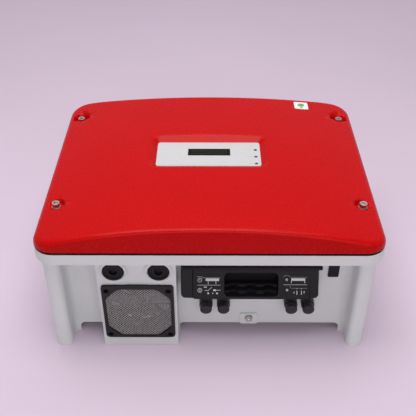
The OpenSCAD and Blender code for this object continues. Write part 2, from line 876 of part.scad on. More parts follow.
module fan_frame() {
    y0 = block_in + 0.1;
    color("#222224") difference() {
        union() {
            difference() {
                panel_block(block_x - fan_size / 2, block_x + fan_size / 2, fan_z - fan_size / 2,
                    fan_z + fan_size / 2, y0, fan_depth, 4);
                rod_y(block_x, y0 - over, fan_z, 2 * fan_bore, fan_depth + 2 * over);
            }
            rod_y(block_x, y0 + fan_depth - 5, fan_z, 36, 5);
            for (a = [45, 135])
                translate([block_x, y0 + fan_depth - 2, fan_z]) rotate([0, a, 0])
                    cube([2 * fan_bore + 2, 4, 5], center = true);
        }
        at_fan_screws() rod_y(0, y0 - over, 0, 4 + 2 * pin_gap, fan_depth + 2 * over);
        rod_y(block_x, y0, fan_z, 4 + 2 * pin_gap, fan_depth - 1.5);
    }
}

module fan_rotor() {
    y0 = block_in + 1.5;
    hub_l = fan_depth - 8;
    color("#2e2e31") {
        rod_y(block_x, y0, fan_z, 2 * hub_r, hub_l);
        rod_y(block_x, y0 + hub_l - eps, fan_z, 4, 4.5);
        for (i = [0:blade_count - 1]) translate([block_x, y0 + hub_l / 2, fan_z])
            rotate([0, i * 360 / blade_count, 0])
                translate([(hub_r + fan_bore - 2.5) / 2, 0, 0]) rotate([40, 0, 0])
                    cube([fan_bore - hub_r - 0.5, 1.6, 18], center = true);
    }
}

module fan_screws() {
    color("#55555a") at_fan_screws() translate([0, block_y + guard_seat, 0]) rotate([90, 0, 0])
        cap_screw(4, fan_head_d, 3, fan_depth + wall_t - 2);
}

// Duct over the fan: closes the block above it and turns the air down through the floor
module fan_duct() {
    x0 = block_x - block_w / 2 + wall_t;
    x1 = block_x + block_w / 2 - wall_t;
    color("#3c3c40") difference() {
        union() {
            box(x0 + run_gap, x1 - run_gap, block_in + run_gap, apron_in + over,
                duct_top - duct_t, duct_top);
            box(x0 - 4, x1 + 4, apron_in, duct_back, floor_z, duct_top);
        }
        box(x0 - 4 + duct_t, x1 + 4 - duct_t, apron_in - over, duct_back - duct_t,
            floor_z - over, duct_top - duct_t);
    }
}

module side_grille(s) {
    x_in = body_w / 2 - wall_t;
    x_out = body_w / 2;
    slats = 5;
    slot_h = (grille_h - 3) / slats;
    color("#242427") mirror([s < 0 ? 1 : 0, 0, 0]) difference() {
        union() {
            box(x_out, x_out + grille_proud, grille_y - grille_l / 2 - 4,
                grille_y + grille_l / 2 + 4, grille_z - grille_h / 2 - 4, grille_z + grille_h / 2 + 4);
            box(x_in - 1, x_out + eps, grille_y - grille_l / 2 + 0.2, grille_y + grille_l / 2 - 0.2,
                grille_z - grille_h / 2 + 0.2, grille_z + grille_h / 2 - 0.2);
        }
        for (i = [0:slats - 1], k = [-1, 1])
            box(x_in - 3, x_out + grille_proud + over, grille_y + (k < 0 ? -grille_l / 2 + 3 : 1.5),
                grille_y + (k < 0 ? -1.5 : grille_l / 2 - 3),
                grille_z - grille_h / 2 + 2.5 + i * slot_h,
                grille_z - grille_h / 2 + 1 + (i + 1) * slot_h);
    }
}

// ---------- cooling and wall fixing ----------

module at_sink_screws() {
    for (sx = [-1, 1], y = [sink_y0 + 20, (sink_y0 + sink_y1) / 2, sink_y1 - 7])
        translate([sx * (sink_w / 2 - 6), y, 0]) children();
}

module heatsink() {
    n = floor(sink_w / fin_pitch);
    color("#a9abad") difference() {
        union() {
            box(-sink_w / 2, sink_w / 2, sink_y0, sink_y1, channel_h - sink_base_t, channel_h);
            for (i = [0:n])
                translate([(i - n / 2) * fin_pitch - fin_t / 2, sink_y0, fin_z])
                    cube([fin_t, sink_y1 - sink_y0, channel_h - sink_base_t - fin_z + eps]);
        }
        at_sink_screws() translate([0, 0, channel_h - 5]) cylinder(d = 4 + 2 * pin_gap, h = 6);
    }
}

module heatsink_screws() {
    color("silver") at_sink_screws() translate([0, 0, floor_z]) cylinder(d = 7, h = 3);
}

module hanging_rail() {
    half = rail_x + 20;
    color("#b4b6b8") difference() {
        union() {
            box(-half, half, rail_y - rail_w / 2, rail_y + rail_w / 2, rail_z, rail_z + rail_t);
            box(-half, half, rail_y - rail_w / 2, rail_y - rail_w / 2 + rail_t, rail_z, rail_z + 16);
        }
        for (s = [-1, 1]) {
            translate([s * rail_x, rail_y, 0]) cylinder(d = 5.4, h = 20);
            translate([s * lock_x, rail_y, 0]) cylinder(d = lock_d, h = 20);
        }
    }
}

module rail_screws() {
    color("silver") for (s = [-1, 1]) translate([s * rail_x, rail_y, 0.4]) {
        cylinder(d = 9, h = rail_z - 0.4);
        cylinder(d = 5, h = 18);
    }
}

// ---------- electronics ----------

// Posts that carry the tray, clear of the power board
post_xy = [for (x = [tray_x0 + 8, tray_x1 - 8], y = [tray_y0 + 8, tray_y1 - 8]) [x, y]];
cap_xy = [for (i = [0, 1], j = [0:4])
    [board_x0 + 24 + i * cap_pitch, (board_y0 + board_y1) / 2 + (j - 2) * cap_pitch]];
stand_xy = [for (x = [board_x0 + 5, board_x1 - 5], y = [board_y0 + 5, board_y1 - 5]) [x, y]];

module power_board() {
    color("#1f5a36") difference() {
        box(board_x0, board_x1, board_y0, board_y1, board_z, board_top);
        for (p = post_xy) translate([p[0], p[1], board_z - over])
            cylinder(d = post_d + 2 * post_gap, h = board_t + 2 * over);
    }
}

module board_standoffs() {
    color("#c2a24c") {
        for (p = stand_xy) translate([p[0], p[1], floor_z]) cylinder(d = 6, h = board_rise);
        for (p = post_xy) translate([p[0], p[1], floor_z]) cylinder(d = post_d, h = tray_z - floor_z);
    }
}

module power_modules() {
    color("#d8d2c0") for (x = [-62, 6]) {
        box(x - 30, x + 30, -36, 4, floor_z, floor_z + 12);
        for (dx = [-24:12:24], y = [-33, 1])
            translate([x + dx, y, floor_z + 12 - eps]) cylinder(d = 1.4, h = 2 + eps);
    }
}

module dc_link_capacitors() {
    color("#2b3350") for (p = cap_xy) translate([p[0], p[1], board_top]) {
        cylinder(r = cap_r, h = cap_h - 1.5);
        translate([0, 0, cap_h - 1.5 - eps]) cylinder(r = cap_r - 1.2, h = 1.5);
    }
}

module filter_chokes() {
    color("#a2541c") for (x = [-66, -8]) translate([x, 116, board_top + 11])
        rotate_extrude() translate([16, 0]) circle(r = 8, $fn = 32);
    color("#222222") for (x = [-66, -8]) translate([x, 116, board_top])
        cylinder(r = 20, h = 3.2);
}

module film_capacitors() {
    color("#2f6fb0") for (x = [-66, -8], y = [24, 52])
        box(x - 21, x + 21, y - 9, y + 9, board_top, board_top + 28);
}

module relays() {
    color("#e6e6e2") for (x = [-84, -62, -40, -18])
        box(x - 7, x + 7, board_y0 + 6, board_y0 + 34, board_top, board_top + 24);
}

module transformer_core() {
    z0 = floor_z + core_foot;
    win_w = (core_w - leg_core - 2 * core_yoke) / 2;
    color("#5c5f66") difference() {
        box(core_x - core_w / 2, core_x + core_w / 2, core_y - core_t / 2, core_y + core_t / 2,
            z0, z0 + core_h);
        for (s = [-1, 1])
            translate([core_x + s * (leg_core + win_w) / 2, core_y, z0 + core_h / 2])
                cube([win_w, core_t + 2 * over, core_h - 2 * core_yoke], center = true);
    }
}

module transformer_winding() {
    h = core_h - 2 * core_yoke - 2 * run_gap;
    win_w = (core_w - leg_core - 2 * core_yoke) / 2;
    w = leg_core + 2 * win_w - 2 * run_gap;
    color("#b5722c") translate([core_x, core_y, floor_z + core_foot + core_yoke + run_gap])
        linear_extrude(h) difference() {
            rounded_rect(w, core_t + 2 * coil_out, 14);
            square([leg_core + 2 * run_gap, core_t + 2 * run_gap], center = true);
        }
}

module transformer_frame() {
    color("#8d9094") for (s = [-1, 1])
        box(core_x - core_w / 2, core_x + core_w / 2, core_y + s * (core_t / 2 - 8) - 8,
            core_y + s * (core_t / 2 - 8) + 8, floor_z, floor_z + core_foot);
}

module boost_choke() {
    y = duct_back + 48;
    color("#8c4a1e") translate([core_x, y, floor_z + 20])
        rotate_extrude() translate([30, 0]) circle(r = 15, $fn = 32);
    color("#2a2a2c") translate([core_x, y, floor_z]) cylinder(r = 34, h = 7);
}

module control_tray() {
    color("#b9bcc0") difference() {
        box(tray_x0, tray_x1, tray_y0, tray_y1, tray_z, tray_z + tray_t);
        for (x = [tray_x0 + 50, tray_x0 + 110], y = [-30, 20, 60])
            translate([x, y, tray_z - over]) cylinder(d = 20, h = tray_t + 2 * over);
    }
}

module control_board() {
    color("#1d6b3f") box(tray_x0 + 6, tray_x1 - 2, tray_y0 + 6, tray_y1 - 6, ctrl_z, ctrl_top);
    color("#c2a24c")
        for (x = [tray_x0 + 12, tray_x1 - 8], y = [tray_y0 + 12, tray_y1 - 12])
            translate([x, y, tray_z + tray_t]) cylinder(d = 5, h = ctrl_z - tray_z - tray_t + eps);
}

module control_components() {
    color("#1b1b1d") {
        box(-70, -46, -6, 18, ctrl_top, ctrl_top + 2.4);
        box(-36, -20, -48, -36, ctrl_top, ctrl_top + 2);
        box(-80, -68, 44, 60, ctrl_top, ctrl_top + 3);
    }
    color("#d9d3c2") box(-4, 40, -56, -47, ctrl_top, ctrl_top + 9);
    color("#3c4a74") for (x = [-90, -78]) translate([x, -44, ctrl_top]) cylinder(d = 10, h = 16);
}

module display_board() {
    x0 = window_x - 50;
    x1 = lamp_x + 8;
    y0 = lamp_y[2] - 7;
    y1 = window_y + 26;
    color("#1d6b3f") box(x0, x1, y0, y1, display_z, display_z + board_t);
    color("#c9c9c9") for (x = [x0 + 5, x1 - 5], y = [y0 + 5, y1 - 5])
        translate([x, y, ctrl_top]) cylinder(d = 5, h = display_z - ctrl_top + eps);
}

module lcd_module() {
    color("#3d4a2c") translate([window_x, window_y, display_z + board_t + lcd_h / 2])
        cube([80, 36, lcd_h], center = true);
}

module indicator_leds() {
    color("#6aa84f") for (y = lamp_y) translate([lamp_x, y, display_z + board_t])
        cylinder(d = lamp_d - 0.4, h = lcd_h + 0.4);
}

module ac_terminal_block() {
    n = 4;
    pole = 19;
    y0 = apron_in + 7;
    color("#3f5f4a") difference() {
        box(block_x - n * pole / 2, block_x + n * pole / 2, y0, y0 + 24, duct_top, duct_top + 26);
        for (i = [0:n - 1]) {
            translate([block_x + (i - (n - 1) / 2) * pole, y0 + 15, duct_top + 12])
                cylinder(d = 9, h = 20);
            rod_y(block_x + (i - (n - 1) / 2) * pole, y0 - over, duct_top + 10, 9, 14);
        }
    }
}

// Conductors from the solar connectors up to the disconnect socket
module dc_wires() {
    r = 8;
    y = apron_y + dc_tail;
    top = blade_z - socket_h / 2;
    color("#a31f1f") for (x = dc_xs) {
        translate([x, y - eps, dc_z]) rotate([0, 0, 90]) rotate([90, 0, 0])
            translate([0, r, 0]) rotate([0, 0, -90])
                rotate_extrude(angle = 90) translate([r, 0]) circle(d = 5, $fn = 24);
        translate([x, y + r - eps, dc_z + r - eps]) cylinder(d = 5, h = top - dc_z - r + eps);
    }
}

// Flat cable from the control board down to the power board
module ribbon_cable() {
    y0 = tray_y0 + 30;
    x = tray_x0 - 4;
    t = 1;
    color("#9a9da3") translate([0, y0 + 34, 0]) rotate([90, 0, 0]) linear_extrude(34)
        polygon([[x + 16, ctrl_top], [x + 16, ctrl_top + 3], [x, ctrl_top + 3], [x, board_top],
            [x + t, board_top], [x + t, ctrl_top + 3 - t], [x + 10, ctrl_top + 3 - t],
            [x + 10, ctrl_top]]);
}

housing();
cover_gasket();
cover();
cover_screws();
cover_washers();
display_panel();
display_window();
indicator_lenses();
cover_sticker();
handle_shell();
handle_backplate();
handle_contacts();
handle_screws();
handle_labels();
dc_socket();
socket_contacts();
dc_connectors();
dc_connector_nuts();
dc_cap(dc_xs[0]);  // dc_cap_1
dc_cap(dc_xs[1]);  // dc_cap_2
dc_cap(dc_xs[2]);  // dc_cap_3
dc_cap(dc_xs[3]);  // dc_cap_4
cable_plugs();
plug_seals();
plug_locknuts();
service_plug();
earth_washer();
earth_screw();
guard_frame();
guard_mesh();
fan_frame();
fan_rotor();
fan_screws();
fan_duct();
side_grille(-1);  // side_grille_left
side_grille(1);  // side_grille_right
heatsink();
heatsink_screws();
hanging_rail();
rail_screws();
power_board();
power_modules();
dc_link_capacitors();
filter_chokes();
film_capacitors();
relays();
board_standoffs();
transformer_core();
transformer_winding();
transformer_frame();
boost_choke();
control_tray();
control_board();
control_components();
display_board();
lcd_module();
indicator_leds();
ac_terminal_block();
dc_wires();
ribbon_cable();
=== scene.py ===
"""Looks of a wall-hung string inverter: cast housing, crowned cover, handle, fan guard and connectors."""
import json
import math

import bmesh
import bpy
from mathutils import Euler, Matrix, Vector


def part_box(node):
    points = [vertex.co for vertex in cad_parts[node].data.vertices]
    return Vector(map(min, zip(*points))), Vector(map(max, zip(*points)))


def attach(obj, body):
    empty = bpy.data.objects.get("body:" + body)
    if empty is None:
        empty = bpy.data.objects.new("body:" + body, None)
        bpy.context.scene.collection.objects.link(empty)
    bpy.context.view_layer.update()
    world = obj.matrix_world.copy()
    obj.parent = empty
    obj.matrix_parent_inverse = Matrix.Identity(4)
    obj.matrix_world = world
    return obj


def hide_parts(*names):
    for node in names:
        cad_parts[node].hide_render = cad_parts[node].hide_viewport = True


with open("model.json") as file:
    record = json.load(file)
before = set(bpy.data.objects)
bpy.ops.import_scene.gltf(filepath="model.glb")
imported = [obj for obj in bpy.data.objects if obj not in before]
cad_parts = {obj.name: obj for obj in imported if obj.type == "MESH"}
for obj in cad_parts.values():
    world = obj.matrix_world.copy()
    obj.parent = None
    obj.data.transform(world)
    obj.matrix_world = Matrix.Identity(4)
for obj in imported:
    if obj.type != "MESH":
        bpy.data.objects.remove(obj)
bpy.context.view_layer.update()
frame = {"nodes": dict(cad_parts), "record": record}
NODES = frame["nodes"]
BODY_OF = {n: b for b, ns in frame["record"]["behaviour"]["bodies"].items() for n in ns}
SLOT_OF = {s["node"]: s["material_slot"] for s in frame["record"]["subparts"]}
MM = 0.001
SAME_LINE = 0.05 * MM


# ---------------------------------------------------------------- small helpers

def clamp(v, lo, hi):
    """v, held between lo and hi."""
    return max(lo, min(hi, v))


def soft_min(a, b, k):
    """The lower of two heights, joined by a round of about size k."""
    h = clamp(0.5 + 0.5 * (b - a) / k, 0.0, 1.0)
    return b * (1 - h) + a * h - k * h * (1 - h)


def steps(lo, hi, size):
    """Evenly spaced values from lo to hi, about size apart, both ends in."""
    n = max(1, round((hi - lo) / size))
    return [lo + (hi - lo) * i / n for i in range(n + 1)]


def merge_lines(*groups):
    """Sorted union of several lists, without near doubles."""
    out = []
    for v in sorted(v for g in groups for v in g):
        if not out or v - out[-1] > SAME_LINE:
            out.append(v)
    return out


def centre(lo, hi):
    """Middle of a box, as three plain numbers."""
    return [(a + b) / 2 for a, b in zip(lo, hi)]


def circle(n):
    """Cosine and sine of n even steps round."""
    return [(math.cos(a), math.sin(a)) for a in (2 * math.pi * i / n for i in range(n))]


def band(p, q, n):
    """Faces between two rings of n vertices, which start at p and q."""
    return [(p + i, p + (i + 1) % n, q + (i + 1) % n, q + i) for i in range(n)]


def add_piece(name, mesh, body, material, smooth=True):
    """A visible piece that moves with a body and fills a material slot."""
    obj = bpy.data.objects.new(name, mesh)
    bpy.context.scene.collection.objects.link(obj)
    mesh.materials.clear()
    mesh.materials.append(material)
    if smooth:
        mesh.shade_smooth()
    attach(obj, body)
    return obj


def mesh_from(name, verts, faces):
    """A mesh from plain lists."""
    mesh = bpy.data.meshes.new(name)
    mesh.from_pydata(verts, [], faces)
    mesh.update()
    return mesh


def finish_bmesh(bm, name):
    """A mesh from a bmesh, with its normals outwards."""
    bmesh.ops.recalc_face_normals(bm, faces=bm.faces)
    mesh = bpy.data.meshes.new(name)
    bm.to_mesh(mesh)
    bm.free()
    return mesh


def apply_modifiers(obj):
    """The modifiers' result takes the place of the object's mesh."""
    depsgraph = bpy.context.evaluated_depsgraph_get()
    mesh = bpy.data.meshes.new_from_object(obj.evaluated_get(depsgraph))
    old = obj.data
    obj.modifiers.clear()
    obj.data = mesh
    bpy.data.meshes.remove(old)


def sharp_by_angle(mesh, degrees):
    """Smooth shading, except at edges that turn more than this."""
    mesh.shade_smooth()
    mesh.set_sharp_from_angle(angle=math.radians(degrees))


# ---------------------------------------------------------------- materials

NOISE_ROUGH = 0.55
BANDS_PER_METRE = 3.18  # of a wave texture at scale 1
LENS_ROUGH = 0.12


class Shader:
    """Builds one procedural material around a Principled shader."""

    def __init__(self, name, base, rough, metal=0.0, coat=0.0, coat_rough=0.2, spec=0.5):
        self.mat = bpy.data.materials.new(name)
        self.mat.use_nodes = True
        self.tree = self.mat.node_tree
        self.bsdf = self.tree.nodes["Principled BSDF"]
        self.base = base
        self.set(self.bsdf, "Base Color", (*base, 1))
        self.set(self.bsdf, "Roughness", rough)
        self.set(self.bsdf, "Metallic", metal)
        self.set(self.bsdf, "Coat Weight", coat)
        self.set(self.bsdf, "Coat Roughness", coat_rough)
        self.set(self.bsdf, "Specular IOR Level", spec)
        self.coord = self.add("ShaderNodeTexCoord").outputs["Object"]
        self.normal = None

    def add(self, kind, **values):
        node = self.tree.nodes.new(kind)
        for key, value in values.items():
            setattr(node, key, value)
        return node

    def set(self, node, socket, value):
        node.inputs[socket].default_value = value

    def link(self, a, b):
        self.tree.links.new(a, b)

    def stretch(self, scale):
        """Object coordinates, scaled along each axis."""
        node = self.add("ShaderNodeMapping")
        self.set(node, "Scale", scale)
        self.link(self.coord, node.inputs["Vector"])
        return node.outputs["Vector"]

    def noise(self, size, detail=3.0, vector=None):
        """Noise whose features are about size metres across."""
        node = self.add("ShaderNodeTexNoise")
        self.set(node, "Scale", 1.0 / size)
        self.set(node, "Detail", detail)
        self.set(node, "Roughness", NOISE_ROUGH)
        self.link(vector or self.coord, node.inputs["Vector"])
        return node.outputs["Fac"]

    def span(self, fac, lo, hi, from_lo=0.3, from_hi=0.7):
        """fac, taken from one range to another."""
        node = self.add("ShaderNodeMapRange")
        for socket, value in (("From Min", from_lo), ("From Max", from_hi), ("To Min", lo), ("To Max", hi)):
            self.set(node, socket, value)
        self.link(fac, node.inputs["Value"])
        return node.outputs["Result"]

    def mix(self, fac, a, b):
        """Colour between a and b, each a colour or an output."""
        node = self.add("ShaderNodeMix", data_type="RGBA")
        self.link(fac, node.inputs["Factor"])
        for socket, value in ((node.inputs[6], a), (node.inputs[7], b)):
            if isinstance(value, tuple):
                socket.default_value = (*value, 1)
            else:
                self.link(value, socket)
        return node.outputs[2]

    def vary(self, fac, amount):
        """Base colour drifts by amount either way along fac."""
        lo = tuple(c * (1 - amount) for c in self.base)
        hi = tuple(min(1.0, c * (1 + amount)) for c in self.base)
        self.color(self.mix(self.span(fac, 0, 1), lo, hi))

    def color(self, output):
        self.link(output, self.bsdf.inputs["Base Color"])

    def rough(self, fac, lo, hi):
        self.link(self.span(fac, lo, hi), self.bsdf.inputs["Roughness"])

    def bump(self, height, distance, strength=1.0):
        """Relief of that depth, on top of any relief already there."""
        node = self.add("ShaderNodeBump")
        self.set(node, "Distance", distance)
        self.set(node, "Strength", strength)
        self.link(height, node.inputs["Height"])
        if self.normal:
            self.link(self.normal, node.inputs["Normal"])
        self.normal = node.outputs["Normal"]
        self.link(self.normal, self.bsdf.inputs["Normal"])


def powder_coat(name, base, rough, grain=0.9 * MM, depth=0.02 * MM, spec=0.5):
    """Powder paint: fine grain over a slow ripple."""
    s = Shader(name, base, rough, spec=spec)
    s.vary(s.noise(60 * MM, 4), 0.025)
    s.rough(s.noise(3 * MM), rough - 0.05, rough + 0.06)
    s.bump(s.noise(grain, 2), depth)
    s.bump(s.noise(9 * MM, 2), 0.014 * MM, 0.6)
    return s.mat


def moulded(name, base, rough, drift=0.1, spec=0.5):
    """Spark-eroded plastic: fine grain, slightly uneven sheen."""
    s = Shader(name, base, rough, spec=spec)
    s.vary(s.noise(14 * MM, 4), drift)
    s.rough(s.noise(2 * MM), rough - 0.07, rough + 0.08)
    s.bump(s.noise(0.45 * MM, 2), 0.02 * MM)
    return s.mat


def metal(name, base, rough, stretch=(1, 1, 1)):
    """Bare metal, its fine lines drawn out along one axis by stretch."""
    s = Shader(name, base, rough, metal=1.0)
    lines = s.noise(0.3 * MM, 3, vector=s.stretch(stretch))
    s.vary(s.noise(7 * MM, 4), 0.08)
    s.rough(lines, rough - 0.08, rough + 0.1)
    s.bump(lines, 0.004 * MM)
    return s.mat


def zinc(name, base):
    """Spangled zinc: cells of slightly different grey."""
    s = Shader(name, base, 0.42, metal=1.0)
    cells = s.add("ShaderNodeTexVoronoi")
    s.set(cells, "Scale", 1 / (5 * MM))
    s.link(s.coord, cells.inputs["Vector"])
    gray = s.add("ShaderNodeRGBToBW")
    s.link(cells.outputs["Color"], gray.inputs["Color"])
    s.vary(gray.outputs["Val"], 0.1)
    s.rough(gray.outputs["Val"], 0.36, 0.5)
    s.bump(s.noise(0.8 * MM), 0.006 * MM)
    return s.mat


def rubber(name, base, spec=0.5):
    """Dull, slightly uneven rubber."""
    s = Shader(name, base, 0.75, spec=spec)
    s.vary(s.noise(6 * MM, 4), 0.15)
    s.bump(s.noise(0.7 * MM), 0.02 * MM)
    return s.mat


RESIST_GREEN = (0.035, 0.17, 0.075)
TRACK_GREEN = (0.07, 0.26, 0.11)


def circuit_board(name):
    """Solder resist over fine copper tracks."""
    s = Shader(name, RESIST_GREEN, 0.32)
    tracks = s.add("ShaderNodeTexBrick")
    s.set(tracks, "Scale", 1.0)
    s.set(tracks, "Brick Width", 7 * MM)
    s.set(tracks, "Row Height", 1.6 * MM)
    s.set(tracks, "Mortar Size", 0.25 * MM)
    s.link(s.coord, tracks.inputs["Vector"])
    s.color(s.mix(tracks.outputs["Fac"], RESIST_GREEN, TRACK_GREEN))
    s.bump(tracks.outputs["Fac"], 0.03 * MM)
    return s.mat


def windings(name, base, pitch=1.1 * MM, axis=2):
    """Enamelled wire laid turn by turn."""
    s = Shader(name, base, 0.3, metal=0.6)
    wave = s.add("ShaderNodeTexWave", wave_type="BANDS", bands_direction="XYZ"[axis], wave_profile="SIN")
    s.set(wave, "Scale", 1 / (pitch * BANDS_PER_METRE))
    s.set(wave, "Distortion", 0.4)
    s.link(s.coord, wave.inputs["Vector"])
    s.vary(wave.outputs["Fac"], 0.3)
    s.bump(wave.outputs["Fac"], 0.25 * MM)
    return s.mat


def laminations(name):
    """Edges of stacked core sheets."""
    s = Shader(name, (0.10, 0.105, 0.115), 0.45, metal=0.7)
    wave = s.add("ShaderNodeTexWave", wave_type="BANDS", bands_direction="Y", wave_profile="SAW")
    s.set(wave, "Scale", 1 / (0.6 * MM * BANDS_PER_METRE))
    s.link(s.coord, wave.inputs["Vector"])
    s.vary(wave.outputs["Fac"], 0.25)
    s.bump(wave.outputs["Fac"], 0.06 * MM)
    return s.mat


def glassy(name, base):
    """A clear hard lens."""
    s = Shader(name, base, LENS_ROUGH, coat=0.4, coat_rough=0.05)
    s.vary(s.noise(4 * MM), 0.12)
    s.rough(s.noise(9 * MM), LENS_ROUGH - 0.03, LENS_ROUGH + 0.05)
    return s.mat


def lcd_screen(name, base):
    """Dark display glass."""
    s = Shader(name, base, 0.2, spec=0.06)
    s.vary(s.noise(5 * MM, 3), 0.15)
    s.rough(s.noise(9 * MM), 0.17, 0.24)
    return s.mat


HOUSING_GREY = (0.68, 0.71, 0.695)
COVER_RED = (0.48, 0.0004, 0.0003)
CHARCOAL = (0.0085, 0.0080, 0.0098)
BLACK = (0.009, 0.0085, 0.0095)


def outer_looks():
    """Housing, cover, display and handle."""
    return {
        "housing_paint": powder_coat("housing_paint", HOUSING_GREY, 0.42),
        "cover_paint": powder_coat("cover_paint", COVER_RED, 0.26, 1.3 * MM, 0.003 * MM, 0.11),
        "gasket_rubber": rubber("gasket_rubber", (0.003, 0.003, 0.003), 0.1),
        "stainless": metal("stainless", (0.60, 0.61, 0.57), 0.24),
        "washer_steel": metal("washer_steel", (0.30, 0.29, 0.28), 0.38),
        "panel_film": moulded("panel_film", (0.54, 0.54, 0.54), 0.42, drift=0.02, spec=0.3),
        "lcd_glass": lcd_screen("lcd_glass", (0.006, 0.007, 0.0045)),
        "lens_grey": glassy("lens_grey", (0.050, 0.044, 0.040)),
        "label_white": moulded("label_white", (0.78, 0.79, 0.76), 0.4, drift=0.02),
        "handle_black": moulded("handle_black", CHARCOAL, 0.34, spec=0.19),
        "handle_print": moulded("handle_print", (0.011, 0.0105, 0.0125), 0.36, spec=0.16),
        "print_white": moulded("print_white", (0.68, 0.68, 0.69), 0.5, drift=0.03),
    }


def fitting_looks():
    """Contacts, connectors, plugs, fan and guard."""
    return {
        "contact_metal": metal("contact_metal", (0.62, 0.50, 0.24), 0.28, stretch=(1, 0.1, 1)),
        "socket_black": moulded("socket_black", (0.02, 0.02, 0.023), 0.55),
        "connector_black": moulded("connector_black", BLACK, 0.38, spec=0.45),
        "plug_black": moulded("plug_black", (0.004, 0.004, 0.0045), 0.40, spec=0.22),
        "seal_black": rubber("seal_black", (0.012, 0.012, 0.012)),
        "fan_black": moulded("fan_black", (0.009, 0.009, 0.010), 0.44, spec=0.3),
        # Painted shade: a darker copy of the fan's black plastic, for the fan parts deep in the duct behind
        # the guard.
        "fan_shaded_black": moulded("fan_shaded_black", (0.0035, 0.0035, 0.004), 0.5, spec=0.12),
        "mesh_wire": metal("mesh_wire", (0.53, 0.56, 0.51), 0.26),
    }


def inner_looks():
    """Everything inside the housing and on its back."""
    return {
        "duct_plastic": moulded("duct_plastic", (0.035, 0.035, 0.038), 0.5),
        "raw_aluminium": metal("raw_aluminium", (0.56, 0.57, 0.58), 0.38, stretch=(1, 0.04, 1)),
        "zinc_steel": zinc("zinc_steel", (0.48, 0.49, 0.51)),
        "board_green": circuit_board("board_green"),
        "module_cream": moulded("module_cream", (0.62, 0.58, 0.46), 0.45),
        "capacitor_sleeve": moulded("capacitor_sleeve", (0.020, 0.026, 0.085), 0.3, drift=0.05),
        "copper_wound": windings("copper_wound", (0.42, 0.15, 0.05)),
        "film_blue": moulded("film_blue", (0.03, 0.13, 0.38), 0.35, drift=0.05),
        "relay_white": moulded("relay_white", (0.68, 0.68, 0.64), 0.35, drift=0.03),
        "standoff_brass": metal("standoff_brass", (0.58, 0.44, 0.17), 0.26),
        "core_steel": laminations("core_steel"),
        "chip_black": moulded("chip_black", (0.013, 0.013, 0.014), 0.5),
        "terminal_green": moulded("terminal_green", (0.045, 0.10, 0.06), 0.45),
        "wire_red": moulded("wire_red", (0.32, 0.012, 0.012), 0.42),
        "ribbon_grey": windings("ribbon_grey", (0.30, 0.31, 0.34), 1.27 * MM, 1),
        "led_green": glassy("led_green", (0.12, 0.33, 0.08)),
    }


def mark_looks():
    """Display cells and printed marks."""
    return {
        "lcd_cell": lcd_screen("lcd_cell", (0.014, 0.018, 0.009)),
        "mark_green": moulded("mark_green", (0.13, 0.36, 0.02), 0.4, drift=0.08),
        "mark_grey": moulded("mark_grey", (0.42, 0.42, 0.43), 0.5, drift=0.05),
        "mark_dark": moulded("mark_dark", (0.055, 0.052, 0.058), 0.5, drift=0.08),
    }


MAT = {**outer_looks(), **fitting_looks(), **inner_looks(), **mark_looks()}


# ---------------------------------------------------------------- pieces from CAD nodes

ROUND_FULLY = ("handle_shell", "guard_frame")
EDGE_ANGLE = 32
NARROW_CORNER = 30
NODE_SHARP_ANGLE = 35
WELD = 0.002 * MM
FLAT_ANGLE = 0.6
EVEN_WEIGHT = 100
# The fan's parts inside the duct take the darker copy, as painted shade seen through the mesh.
NODE_LOOK = dict.fromkeys(("fan_screws", "fan_frame", "fan_rotor", "fan_duct"), "fan_shaded_black")


def edges_to_round(bm):
    """Sharp edges, without those that meet another edge of their face at a narrow corner."""
    least = math.radians(EDGE_ANGLE)
    sharp = {e for e in bm.edges if len(e.link_faces) == 2 and e.calc_face_angle(0) > least}
    narrow = set()
    for face in bm.faces:
        for loop in face.loops:
            pair = (loop.edge, loop.link_loop_prev.edge)
            if loop.calc_angle() < math.radians(NARROW_CORNER) and sharp.intersection(pair):
                narrow.update(pair)
    return [e for e in bm.edges if e in sharp and e not in narrow]


def soften(node, width):
    """A copy of a CAD node with its hard edges rounded, which stands for the node."""
    bm = bmesh.new()
    bm.from_mesh(NODES[node].data)
    bmesh.ops.remove_doubles(bm, verts=bm.verts, dist=WELD)
    bmesh.ops.dissolve_limit(bm, angle_limit=math.radians(FLAT_ANGLE), verts=bm.verts, edges=bm.edges)
    bmesh.ops.bevel(bm, geom=edges_to_round(bm), offset=width, segments=2, profile=0.5,
                    affect="EDGES", clamp_overlap=node not in ROUND_FULLY)
    mesh = finish_bmesh(bm, node + "_soft")
    obj = add_piece(mesh.name, mesh, BODY_OF[node], look_of(node))
    level = obj.modifiers.new("level", "WEIGHTED_NORMAL")
    level.mode = "FACE_AREA"
    level.weight = EVEN_WEIGHT
    level.keep_sharp = True
    sharp_by_angle(obj.data, EDGE_ANGLE)
    apply_modifiers(obj)
    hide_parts(node)


def look_of(node):
    """A CAD node's material, its slot's unless NODE_LOOK says otherwise."""
    return MAT[NODE_LOOK.get(node, SLOT_OF[node])]


def dress_nodes():
    """Every CAD node gets its material and clean shading."""
    for node, obj in NODES.items():
        obj.data.materials.clear()
        obj.data.materials.append(look_of(node))
        sharp_by_angle(obj.data, NODE_SHARP_ANGLE)


# ---------------------------------------------------------------- cover

